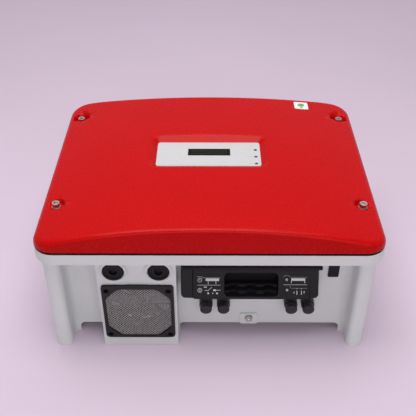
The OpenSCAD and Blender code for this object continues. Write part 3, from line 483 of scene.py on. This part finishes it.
CROWN_R = 1009.3 * MM
CROWN_LIFT = 7.5 * MM
CROWN_ROUND = 1.2 * MM
FAR_R = 1789.7 * MM
CORNER_R = 28 * MM
CORNER_TURNS = 14
EDGE_R_MM = 5.5
EDGE_R_MORE_MM = 2.5
COVER_LEAN = 3.5 * MM
COVER_T = 3 * MM
COVER_FLANGE = 12 * MM
COVER_SHARP_ANGLE = 50
LIP_RISE = 0.8 * MM
LIP_W = 3 * MM
LIP_R = 0.7 * MM
RECESS_CORNER_R = 5 * MM
RECESS_GAP = 0.6 * MM
RECESS_SLOPE = 0.725
RECESS_UNDER = 0.83
RECESS_ROUND = 1.6 * MM
WASHER_R = 6 * MM
POCKET_R = 9.3 * MM
POCKET_SLOPE = 2.4
POCKET_REACH = 12 * MM
POCKET_ROUND = 0.7 * MM
BOSS_R = 7 * MM
BOSS_HOLE_R = 3.3 * MM
TUBE_SIDES = 32

# Spacing of the cover's grid: plain, along the recess's wall, by a pocket, over the border.
GRID = 8 * MM
WALL_GRID = 1.0 * MM
POCKET_GRID = 0.6 * MM
BORDER_GRID = 0.65 * MM
GRID_MARGIN = 2 * MM
WALL_RUN = 15 * MM
BORDER_END = 12 * MM
EDGE_STEP = 9


class Cover:
    """Crowned cover with a rounded rim, a display recess and four screw pockets."""

    def __init__(self):
        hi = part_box("cover")[1]
        self.half = Vector((hi.x, hi.y))
        self.z0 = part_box("cover_gasket")[1].z
        self.z1 = hi.z
        plo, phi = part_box("display_panel")
        cx, cy, _ = centre(plo, phi)
        self.panel = (cx, cy, (phi.x - plo.x) / 2, (phi.y - plo.y) / 2)
        self.floor_z = plo.z
        wlo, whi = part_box("cover_washers")
        self.pockets = [(x, y) for x in (wlo.x + WASHER_R, whi.x - WASHER_R)
                        for y in (wlo.y + WASHER_R, whi.y - WASHER_R)]
        self.pocket_z = wlo.z

    def crown(self, x, y):
        """A full arch that rises from the front edge, under a flatter level one."""
        back = clamp((y + self.half.y) / (2 * self.half.y), 0, 1)
        front = math.sqrt(CROWN_R ** 2 - x * x) - CROWN_R + CROWN_LIFT * back
        far = math.sqrt(FAR_R ** 2 - x * x) - FAR_R
        return self.z1 + soft_min(front, far, CROWN_ROUND)

    def edge_r(self, x):
        """Radius of the rounded edge, larger towards the corners."""
        return (EDGE_R_MM + EDGE_R_MORE_MM * (abs(x) / self.half.x) ** 2) * MM

    def lean(self, x, y):
        """Inset of the side wall where it meets the rounded edge."""
        top = self.crown(x, y) - self.edge_r(x)
        return COVER_LEAN * (top - self.z0) / (self.z1 - self.z0)

    def height(self, x, y, inner):
        """Height of the crown with its recess and pockets, or of the surface inner below it."""
        z = self.crown(x, y) - inner
        cx, cy, a, b = self.panel
        gap = RECESS_GAP + inner
        dx = max(abs(x - cx) - (a + gap - RECESS_CORNER_R), 0)
        dy = max(abs(y - cy) - (b + gap - RECESS_CORNER_R), 0)
        out = max(math.hypot(dx, dy) - RECESS_CORNER_R, 0)
        z = soft_min(z, self.floor_z - inner * RECESS_UNDER + out * RECESS_SLOPE, RECESS_ROUND)
        for px, py in self.pockets:
            d = math.hypot(x - px, y - py) - POCKET_R - inner
            if d < POCKET_REACH:
                z = soft_min(z, self.pocket_z - inner + max(d, 0) * POCKET_SLOPE, POCKET_ROUND)
        return z

    def lines(self):
        """Grid lines over the middle, dense where the shape turns."""
        cx, cy, a, b = self.panel
        w, l = self.half.x - CORNER_R, self.half.y - CORNER_R
        near = [steps(self.pockets[-1][0] - POCKET_R - GRID_MARGIN, w, POCKET_GRID),
                steps(cx + a - GRID_MARGIN, cx + a + WALL_RUN, WALL_GRID)]
        xs = merge_lines(steps(-w, w, GRID), *near, *[[-v for v in g] for g in near])
        ys = [steps(cy - b - WALL_RUN, cy - b + GRID_MARGIN, WALL_GRID),
              steps(cy + b - GRID_MARGIN, cy + b + WALL_RUN, WALL_GRID)]
        for y in sorted({p[1] for p in self.pockets}):
            ys.append(steps(y - POCKET_R - GRID_MARGIN, y + POCKET_R + GRID_MARGIN, POCKET_GRID))
        ys = merge_lines(steps(-l, l, GRID), *ys)
        return xs, [y for y in ys if -l <= y <= l]

    def border(self):
        """Stations outwards from the middle: (kind, value), an inset or a share of the edge's radius."""
        flat = [("inset", d) for d in steps(BORDER_END, CORNER_R, BORDER_GRID)[::-1][1:]]
        edge = [("edge", 1 - math.sin(math.radians(a))) for a in range(0, 91, EDGE_STEP)]
        return flat + edge

    def profile(self):
        """Height and inset of each ring down the side, round the lip and back in over the flange."""
        r, lip, top = LIP_R, self.z0 + LIP_RISE, self.z0 + COVER_T
        return [(lip + 3 * r, 0.1 * MM), (lip + r, 0), (lip + 0.3 * r, 0.3 * r), (lip, r), (lip, LIP_W),
                (self.z0, LIP_W + LIP_RISE / 2), (self.z0, COVER_FLANGE),
                (top, COVER_FLANGE), (top, COVER_T + 1 * MM)]

    def build(self):
        """The closed shell with its four bosses, which stands for the CAD cover."""
        shell, under = Sheet(self, 0.0), Sheet(self, COVER_T)
        for z, inset in self.profile():
            shell.bridge(shell.ring_at(inset, z))
        base = len(shell.verts)
        shell.verts.extend(under.verts)
        shell.faces.extend(tuple(base + v for v in reversed(f)) for f in under.faces)
        shell.bridge([base + v for v in under.outline])
        mesh = mesh_from("cover_shell", shell.verts, shell.faces)
        bm = bmesh.new()
        bm.from_mesh(mesh)
        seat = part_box("housing")[1].z
        for x, y in self.pockets:
            tube(bm, (x, y, seat), self.pocket_z - COVER_T / 2 - seat, BOSS_R, BOSS_HOLE_R)
        bm.to_mesh(mesh)
        bm.free()
        obj = add_piece("cover_shell", mesh, "cover", MAT["cover_paint"])
        sharp_by_angle(obj.data, COVER_SHARP_ANGLE)
        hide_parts("cover")


class Sheet:
    """The cover's top surface, or the one inner below it, from the middle out to the edge's end."""

    def __init__(self, cover, inner):
        self.cover, self.inner = cover, inner
        self.xs, self.ys = cover.lines()
        self.verts, self.faces = [], []
        grid = [[self.add(x, y) for y in self.ys] for x in self.xs]
        for a, b in zip(grid, grid[1:]):
            for j in range(len(self.ys) - 1):
                self.faces.append((a[j], b[j], b[j + 1], a[j + 1]))
        self.rim = self.walk()
        self.outline = [grid[i][j] for (i, j), _ in self.rim]
        for kind, value in cover.border():
            self.bridge([self.outward(at, way, kind, value) for at, way in self.rim])

    def add(self, x, y, inset=0, radius=0):
        """A vertex on the surface, lowered where it is on the rounded edge."""
        z = self.cover.height(x, y, self.inner)
        if inset < radius:
            z -= radius - math.sqrt(max(radius ** 2 - (radius - inset) ** 2, 0))
        self.verts.append((x, y, z))
        return len(self.verts) - 1

    def walk(self):
        """Round the middle: the indices of each edge point, and the direction outwards from it."""
        end_x, end_y = len(self.xs) - 1, len(self.ys) - 1
        rim = [((i, 0), (0, -1)) for i in range(end_x)] + turns((end_x, 0), -90)
        rim += [((end_x, j), (1, 0)) for j in range(end_y)] + turns((end_x, end_y), 0)
        rim += [((i, end_y), (0, 1)) for i in range(end_x, 0, -1)] + turns((0, end_y), 90)
        rim += [((0, j), (-1, 0)) for j in range(end_y, 0, -1)] + turns((0, 0), 180)
        return rim

    def outward(self, at, way, kind, value):
        """Vertex of one border station, out from an edge point of the middle."""
        x, y = self.xs[at[0]], self.ys[at[1]]
        edge_x, edge_y = x + way[0] * CORNER_R, y + way[1] * CORNER_R
        radius, lean = self.cover.edge_r(edge_x), self.cover.lean(edge_x, edge_y)
        inset = lean + value * radius if kind == "edge" else value
        local = inset - lean
        reach = CORNER_R - inset - self.inner * (1 - local / (CORNER_R - lean))
        return self.add(x + way[0] * reach, y + way[1] * reach, local, radius)

    def ring_at(self, inset, z):
        """New vertices all round, at that inset from the outline and at height z."""
        start, reach = len(self.verts), CORNER_R - inset
        self.verts.extend((self.xs[i] + d[0] * reach, self.ys[j] + d[1] * reach, z)
                          for (i, j), d in self.rim)
        return list(range(start, len(self.verts)))

    def bridge(self, ring):
        """Faces from the outline to a ring, which becomes the outline.

        The first outline repeats the middle's corner points, so the faces there are triangles.
        """
        old, n = self.outline, len(ring)
        for i in range(n):
            quad = (old[i], ring[i], ring[(i + 1) % n], old[(i + 1) % n])
            self.faces.append(quad[:3] if quad[3] == quad[0] else quad)
        self.outline = ring


def turns(corner, start):
    """A quarter turn at one corner of the middle, from start degrees on."""
    angles = [math.radians(start + 90 * (t / CORNER_TURNS)) for t in range(CORNER_TURNS)]
    return [(corner, (math.cos(a), math.sin(a))) for a in angles]


def tube(bm, base, height, outer, inner):
    """A ring-shaped column standing on base."""
    n = TUBE_SIDES
    rings = [[bm.verts.new((base[0] + radius * c, base[1] + radius * s, base[2] + z)) for c, s in circle(n)]
             for radius, z in ((outer, 0), (outer, height), (inner, height), (inner, 0))]
    for a, b in zip(rings, rings[1:] + rings[:1]):
        for i in range(n):
            bm.faces.new((a[i], a[(i + 1) % n], b[(i + 1) % n], b[i]))


# ---------------------------------------------------------------- woven mesh behind the guard

WIRE_PITCH = 2.8 * MM
WIRE_R = 0.43 * MM
WIRE_SIDES = 6
WEAVE_R = 50 * MM


def woven_mesh():
    """Plain weave at 45 degrees, cut to the guard's rounded window."""
    lo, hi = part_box("guard_mesh")
    cx, y, cz = centre(lo, hi)
    half = (hi.x - lo.x) / 2
    verts, faces = [], []
    count = int(WEAVE_R / WIRE_PITCH) + 1
    for family in (0, 1):
        for i in range(-count, count + 1):
            run = []
            for j in range(-count * 2, count * 2 + 1):
                u, v = i * WIRE_PITCH, j * WIRE_PITCH / 2
                s, t = (u, v) if family == 0 else (v, u)
                x, z = (s - t) * math.sqrt(0.5), (s + t) * math.sqrt(0.5)
                if abs(x) > half or abs(z) > half or math.hypot(x, z) > WEAVE_R:
                    add_wire(run, verts, faces)
                    run = []
                    continue
                phase = (i + family) % 2 * math.pi
                wave = 0 if j % 2 else math.cos(math.pi * j / 2 + phase) * WIRE_R
                run.append(Vector((cx + x, y + wave, cz + z)))
            add_wire(run, verts, faces)
    return mesh_from("woven_wire", verts, faces)


def add_wire(points, verts, faces):
    """A round wire along the points, where there are three or more."""
    if len(points) < 3:
        return
    direction = (points[-1] - points[0]).normalized()
    side = direction.cross(Vector((0, 1, 0))).normalized()
    n, start = WIRE_SIDES, len(verts)
    for p in points:
        verts.extend(p + side * (WIRE_R * c) + Vector((0, WIRE_R * s, 0)) for c, s in circle(n))
    for i in range(len(points) - 1):
        faces.extend(band(start + i * n, start + (i + 1) * n, n))
    faces.append(tuple(range(start, start + n))[::-1])
    faces.append(tuple(range(len(verts) - n, len(verts))))


# Each outline of the dark ring: how far its flats pass the mesh's edge, and its corner radius.
SHADE_RING_WIDE = (1.5 * MM, 51 * MM)
SHADE_RING_HOLE = (-1.1 * MM, 45.9 * MM)
SHADE_RING_LINING = (-1.6 * MM, 45.4 * MM)
SHADE_RING_FRONT = 0.3 * MM
SHADE_RING_SEAT = 0.02 * MM
SHADE_RING_DEPTH = 5 * MM
SHADE_RING_SIDES = 96


def mesh_backing():
    """Black ring and sleeve round the fan opening, seen through the edge of the mesh: painted shade over
    the housing's edge.
    """
    lo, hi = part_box("guard_mesh")
    cx, _, cz = centre(lo, hi)
    half = (hi.x - lo.x) / 2
    frame_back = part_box("guard_frame")[1].y
    front, seat = frame_back - SHADE_RING_FRONT, frame_back - SHADE_RING_SEAT
    back = seat + SHADE_RING_DEPTH
    # Painted shade: a black ring on the housing and a black sleeve down the fan opening, so the mesh's gaps
    # look dark.
    rings = ((SHADE_RING_WIDE, front), (SHADE_RING_WIDE, seat), (SHADE_RING_HOLE, seat),
             (SHADE_RING_HOLE, back), (SHADE_RING_LINING, back), (SHADE_RING_LINING, front))
    n = SHADE_RING_SIDES
    verts, faces = [], []
    for k, ((extra, reach), y) in enumerate(rings):
        for c, s in circle(n):
            r = min(reach, (half + extra) / max(abs(c), abs(s)))
            verts.append((cx + r * c, y, cz + r * s))
        faces += band(k * n, (k + 1) % len(rings) * n, n)
    mesh = mesh_from("mesh_shade_ring", verts, faces)
    add_piece("mesh_shade_ring", mesh, "guard", MAT["seal_black"], smooth=False)


ENTRY_PLUG_R = 14 * MM
BEAD_R = 16.9 * MM
BEAD_T = 1.25 * MM
BEAD_SINK = 0.9 * MM
BEAD_AROUND = 64
BEAD_ACROSS = 12


def entry_beads():
    """Raised round bead of the casting about each cable entry."""
    lo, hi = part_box("cable_plugs")
    z = centre(lo, hi)[2]
    verts, faces = [], []
    n = BEAD_ACROSS
    for x in (lo.x + ENTRY_PLUG_R, hi.x - ENTRY_PLUG_R):
        start = len(verts)
        for i, (c, s) in enumerate(circle(BEAD_AROUND)):
            for across, along in circle(n):
                r = BEAD_R + BEAD_T * across
                verts.append((x + r * c, lo.y + BEAD_SINK - BEAD_T * along, z + r * s))
            faces += band(start + i * n, start + (i + 1) % BEAD_AROUND * n, n)
    mesh = mesh_from("entry_beads", verts, faces)
    add_piece("entry_beads", mesh, "root", MAT["housing_paint"])


# ---------------------------------------------------------------- printed marks

DISC_SIDES = 24
RING_SIDES = 32
STROKES = {1: [(-0.6, 0.7), (0.1, 1.4), (0.1, -1.4)],
           2: [(-0.8, 0.8), (-0.3, 1.4), (0.5, 1.3), (0.8, 0.6), (-0.8, -1.4), (0.9, -1.4)]}
FACE_SLOPE = 30
FACE_LIFT = 0.30 * MM


class Decal:
    """Thin printed shapes on a plane, drawn in millimetres from its origin."""

    def __init__(self, origin, right, up, thick=0.05 * MM):
        self.origin = Vector(origin)
        self.right, self.up = Vector(right).normalized(), Vector(up).normalized()
        self.out = self.right.cross(self.up)
        self.thick = thick
        self.verts, self.faces = [], []

    def point(self, x, y, h):
        """Place of a point of the drawing, h above the plane."""
        return self.origin + self.right * (x * MM) + self.up * (y * MM) + self.out * h

    def shape(self, points):
        """A convex shape, its outline counter-clockwise."""
        start, n = len(self.verts), len(points)
        for h in (0, self.thick):
            self.verts.extend(self.point(x, y, h) for x, y in points)
        self.faces.append(tuple(start + i for i in reversed(range(n))))
        self.faces.append(tuple(start + n + i for i in range(n)))
        for i in range(n):
            j = (i + 1) % n
            self.faces.append((start + i, start + j, start + n + j, start + n + i))

    def bar(self, x0, y0, x1, y1):
        """A rectangle between two corners."""
        self.shape([(x0, y0), (x1, y0), (x1, y1), (x0, y1)])

    def path(self, points, width=0.45):
        """A line through the points."""
        for (ax, ay), (bx, by) in zip(points, points[1:]):
            k = width / 2 / math.hypot(bx - ax, by - ay)
            ox, oy = (ay - by) * k, (bx - ax) * k
            self.shape([(ax - ox, ay - oy), (bx - ox, by - oy), (bx + ox, by + oy), (ax + ox, ay + oy)])

    def disc(self, x, y, r, squash=1.0):
        """A filled circle, or an ellipse squashed along y."""
        self.shape([(x + r * c, y + r * squash * s) for c, s in circle(DISC_SIDES)])

    def ring(self, x, y, r, width):
        """A circular line whose outside has radius r."""
        start, n = len(self.verts), RING_SIDES
        for radius, h in ((r, 0), (r, self.thick), (r - width, self.thick), (r - width, 0)):
            self.verts.extend(self.point(x + radius * c, y + radius * s, h) for c, s in circle(n))
        for k in range(4):
            self.faces.extend(band(start + k * n, start + (k + 1) % 4 * n, n))

    def digit(self, x, y, which):
        """A 1 or a 2, about 3 mm tall."""
        self.path([(x + a, y + b) for a, b in STROKES[which]], 0.5)

    def place(self, name, body, slot, material):
        """The drawing as a piece."""
        mesh = mesh_from(name, self.verts, self.faces)
        add_piece(name, mesh, body, MAT[material], smooth=False)


def handle_face():
    """Middle of the sloped face's lower edge, a little off the face, and the directions along it."""
    slope = math.radians(FACE_SLOPE)
    up = Vector((0, math.sin(slope), math.cos(slope)))
    out = Vector((1, 0, 0)).cross(up)
    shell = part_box("handle_shell")
    base = Vector((centre(*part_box("handle_labels"))[0], shell[0].y, shell[0].z))
    return base + out * FACE_LIFT, Vector((1, 0, 0)), up


def left_marks(white):
    """Positions 1 and 2 and a plain switching diagram, left of the grip."""
    for y, number in ((26.4, 1), (12.5, 2)):
        white.ring(-68.6, y, 3.0, 0.55)
        white.digit(-68.6, y, number)
    white.bar(-60.8, 25.2, -43.0, 28.8)
    white.path([(-57.5, 25.0), (-57.5, 20.8)], 0.7)
    white.path([(-47.2, 25.0), (-47.2, 20.8)], 0.7)
    white.path([(-71.7, 19.6), (-41.0, 19.6)])
    white.path([(-72.5, 31.0), (-66.0, 31.0), (-64.0, 29.6), (-41.5, 29.6)], 0.3)
    white.bar(-63.2, 16.2, -59.5, 17.5)
    white.path([(-62.1, 12.3), (-57.5, 12.3), (-52.5, 16.9)], 0.6)
    white.bar(-50.8, 11.6, -47.2, 13.8)
    white.path([(-47.2, 12.7), (-41.0, 12.7)], 0.6)
    for x, r in ((-57.4, 1.2), (-51.4, 0.8), (-45.8, 1.2)):
        white.disc(x, 8.4, r)


def right_marks(white):
    """A plain diagram right of the grip."""
    white.bar(53.0, 25.8, 71.5, 29.2)
    for x in (53.4, 71.2):
        white.path([(x, 25.8), (x - 0.5, 22.8)], 0.9)
    white.path([(42.5, 20.4), (74.0, 20.4)])
    for x, y0, y1 in ((57.0, 8.6, 10.9), (60.8, 6.8, 12.2), (66.8, 6.8, 12.2), (70.4, 8.8, 11.8)):
        white.path([(x, y0), (x, y1)], 0.9)
    for x in (60.8, 66.8):
        white.disc(x, 15.3, 0.6)


def handle_marks():
    """White and grey print on the handle's sloped face."""
    white = Decal(*handle_face())
    left_marks(white)
    right_marks(white)
    white.place("handle_marks", "handle", "handle_print", "print_white")
    grey = Decal(*handle_face())
    for x, y in ((47.0, 27.2), (47.6, 13.2)):
        grey.disc(x, y, 1.7)
    grey.path([(42.5, 31.0), (44.8, 33.0), (49.8, 32.6), (51.8, 30.6), (74.0, 30.6)], 0.35)
    grey.path([(51.4, 19.0), (51.5, 17.2), (53.4, 15.6), (74.0, 15.6)], 0.3)
    grey.place("handle_marks_grey", "handle", "handle_print", "mark_grey")


CELL_PITCH = 3.45
CELL_HALF_W = 1.45
CELL_HALF_H = 2.6
CELL_ROWS = (-3.4, 3.4)
CELL_MARGIN = 6
LAMPS = 3
MARK_OFFSET = 9.0
RING_OFFSET = 7.5
FILM_LIFT = 0.01 * MM


def display_cells():
    """Blank character cells of the display."""
    lo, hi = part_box("display_window")
    cx, cy, _ = centre(lo, hi)
    cells = Decal((cx, cy, hi.z + FILM_LIFT), (1, 0, 0), (0, 1, 0), 0.02 * MM)
    half = (hi.x - lo.x) / 2 / MM
    count = int((2 * half - CELL_MARGIN) / CELL_PITCH)
    for row in CELL_ROWS:
        for i in range(count):
            x = (i - (count - 1) / 2) * CELL_PITCH
            cells.bar(x - CELL_HALF_W, row - CELL_HALF_H, x + CELL_HALF_W, row + CELL_HALF_H)
    cells.place("display_cells", "cover", "lcd_glass", "lcd_cell")


def lamp_marks():
    """A small plain mark beside each lamp, and a ring beside the display."""
    lo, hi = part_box("display_window")
    plo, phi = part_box("display_panel")
    llo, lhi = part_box("indicator_lenses")
    panel_x = centre(plo, phi)[0]
    marks = Decal((panel_x, 0, phi.z + FILM_LIFT), (1, 0, 0), (0, 1, 0), 0.03 * MM)
    x = (centre(llo, lhi)[0] - panel_x) / MM - MARK_OFFSET
    r = (lhi.x - llo.x) / 2
    first, last = (llo.y + r) / MM, (lhi.y - r) / MM
    for k in range(LAMPS):
        y = first + (last - first) * k / (LAMPS - 1)
        marks.path([(x - 3.2, y + 1.2), (x - 0.8, y - 1.2), (x + 0.9, y + 1.0), (x + 3.0, y - 0.8)], 0.8)
    marks.ring((hi.x - lo.x) / 2 / MM + RING_OFFSET, centre(lo, hi)[1] / MM, 2.0, 0.6)
    marks.place("lamp_marks", "cover", "panel_film", "mark_grey")


STICKER_LIFT = 0.34 * MM


def sticker_mark():
    """A plain green spot on the corner sticker, and a short dark bar below it."""
    cx, cy, _ = centre(*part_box("cover_sticker"))
    tilt = math.asin(cx / FAR_R)
    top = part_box("cover")[1].z + math.sqrt(FAR_R ** 2 - cx * cx) - FAR_R + STICKER_LIFT
    plane = ((cx, cy, top), (math.cos(tilt), 0, -math.sin(tilt)), (0, 1, 0))
    green = Decal(*plane)
    green.disc(0, 1.5, 5.4, 0.9)
    green.place("sticker_spot", "cover", "label_white", "mark_green")
    foot = Decal(*plane)
    foot.bar(-1.6, -7.4, 1.6, -5.0)
    foot.place("sticker_bar", "cover", "label_white", "mark_dark")


# ---------------------------------------------------------------- stage

FLOOR_TINT = (0.66, 0.545, 0.65)
BACKDROP = (0.60, 0.50, 0.59, 1)
SKY = (0.97, 0.95, 1.0, 1)
SKY_STRENGTH = 0.34
FADE_FROM = 1.5
FADE_TO = 3.2
FLOOR_HALF = 8.0
FLOOR_CELLS = 8
LENS = 58.69
CAMERA_PLACE = (0.00224, -0.8146, 0.73732)
CAMERA_TURN = (52.78, 0.07, 0.278)


def blend_floor(s):
    """Far from the object, the floor the camera sees fades into the backdrop's colour."""
    away = s.add("ShaderNodeVectorMath", operation="LENGTH")
    s.link(s.coord, away.inputs[0])
    far = s.span(away.outputs["Value"], 0.0, 1.0, FADE_FROM, FADE_TO)
    path = s.add("ShaderNodeLightPath")
    seen = s.add("ShaderNodeMath", operation="MULTIPLY")
    s.link(far, seen.inputs[0])
    s.link(path.outputs["Is Camera Ray"], seen.inputs[1])
    glow = s.add("ShaderNodeEmission")
    s.set(glow, "Color", BACKDROP)
    mix = s.add("ShaderNodeMixShader")
    s.link(seen.outputs[0], mix.inputs[0])
    s.link(s.bsdf.outputs[0], mix.inputs[1])
    s.link(glow.outputs[0], mix.inputs[2])
    s.link(mix.outputs[0], s.tree.nodes["Material Output"].inputs["Surface"])


def make_floor():
    """A wide matt floor, in cells."""
    s = Shader("floor", FLOOR_TINT, 0.9, spec=0.1)
    s.vary(s.noise(0.5, 3), 0.02)
    s.bump(s.noise(1.5 * MM), 0.02 * MM)
    blend_floor(s)
    n = FLOOR_CELLS
    line = [FLOOR_HALF * (2 * i / n - 1) for i in range(n + 1)]
    verts = [(x, y, 0) for y in line for x in line]
    row = n + 1
    faces = [(j * row + i, j * row + i + 1, (j + 1) * row + i + 1, (j + 1) * row + i)
             for j in range(n) for i in range(n)]
    mesh = mesh_from("floor", verts, faces)
    obj = bpy.data.objects.new("floor", mesh)
    bpy.context.scene.collection.objects.link(obj)
    mesh.materials.append(s.mat)


def area_light(name, place, target, size, power):
    """A white rectangular lamp that faces target."""
    data = bpy.data.lights.new(name, "AREA")
    data.shape = "RECTANGLE"
    data.size, data.size_y = size
    data.energy = power
    obj = bpy.data.objects.new(name, data)
    obj.location = place
    obj.rotation_euler = (Vector(target) - Vector(place)).to_track_quat("-Z", "Y").to_euler()
    bpy.context.scene.collection.objects.link(obj)


def make_world():
    """Soft even light, and the floor's own colour wherever the sky is seen or mirrored."""
    world = bpy.data.worlds.new("world")
    bpy.context.scene.world = world
    world.use_nodes = True
    tree = world.node_tree
    light = tree.nodes["Background"]
    light.inputs["Color"].default_value = SKY
    light.inputs["Strength"].default_value = SKY_STRENGTH
    seen = tree.nodes.new("ShaderNodeBackground")
    seen.inputs["Color"].default_value = BACKDROP
    seen.inputs["Strength"].default_value = 1.0
    path = tree.nodes.new("ShaderNodeLightPath")
    ray = path.outputs["Is Camera Ray"]
    for other in ("Is Glossy Ray", "Is Transmission Ray"):
        either = tree.nodes.new("ShaderNodeMath")
        either.operation = "MAXIMUM"
        tree.links.new(ray, either.inputs[0])
        tree.links.new(path.outputs[other], either.inputs[1])
        ray = either.outputs[0]
    mix = tree.nodes.new("ShaderNodeMixShader")
    tree.links.new(ray, mix.inputs[0])
    tree.links.new(light.outputs[0], mix.inputs[1])
    tree.links.new(seen.outputs[0], mix.inputs[2])
    tree.links.new(mix.outputs[0], tree.nodes["World Output"].inputs["Surface"])


def make_lights():
    """One lamp above, one in front, and one for the floor behind the object."""
    area_light("key", (-0.08, -0.2, 1.65), (0, 0, 0.1), (1.25, 0.85), 17.5)
    area_light("front", (0.2, -2.2, 1.35), (0, 0, 0.1), (2.2, 0.9), 15)
    area_light("far", (0.0, 1.25, 2.6), (0, 0.9, 0), (2.4, 1.2), 18)


def make_camera():
    """The photograph's viewpoint."""
    data = bpy.data.cameras.new("camera")
    data.sensor_width = 36
    data.lens = LENS
    obj = bpy.data.objects.new("camera", data)
    obj.location = CAMERA_PLACE
    obj.rotation_euler = Euler([math.radians(a) for a in CAMERA_TURN], "XYZ")
    bpy.context.scene.collection.objects.link(obj)
    bpy.context.scene.camera = obj


# ---------------------------------------------------------------- whole scene

# Width in millimetres of each CAD node's rounded edges.
SOFT_EDGES = {
    "housing": 0.9, "handle_shell": 1.0, "handle_backplate": 0.8, "guard_frame": 0.6,
    "cable_plugs": 0.5, "dc_connectors": 0.5,
    "dc_cap_1": 0.8, "dc_cap_2": 0.8, "dc_cap_3": 0.8, "dc_cap_4": 0.8,
    "service_plug": 0.4, "cover_screws": 0.5, "cover_washers": 0.2,
    "earth_screw": 0.4, "earth_washer": 0.15, "fan_rotor": 0.3, "fan_frame": 0.6,
    "display_panel": 0.25, "cover_gasket": 0.3, "fan_screws": 0.25, "hanging_rail": 0.4,
}


def main():
    bpy.context.scene.view_settings.view_transform = "Standard"
    dress_nodes()
    for node, width in SOFT_EDGES.items():
        soften(node, width * MM)
    Cover().build()
    wire = add_piece("woven_wire", woven_mesh(), "guard", MAT["mesh_wire"])
    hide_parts("guard_mesh")
    mesh_backing()
    entry_beads()
    handle_marks()
    display_cells()
    lamp_marks()
    sticker_mark()
    make_floor()
    make_world()
    make_lights()
    make_camera()


main()
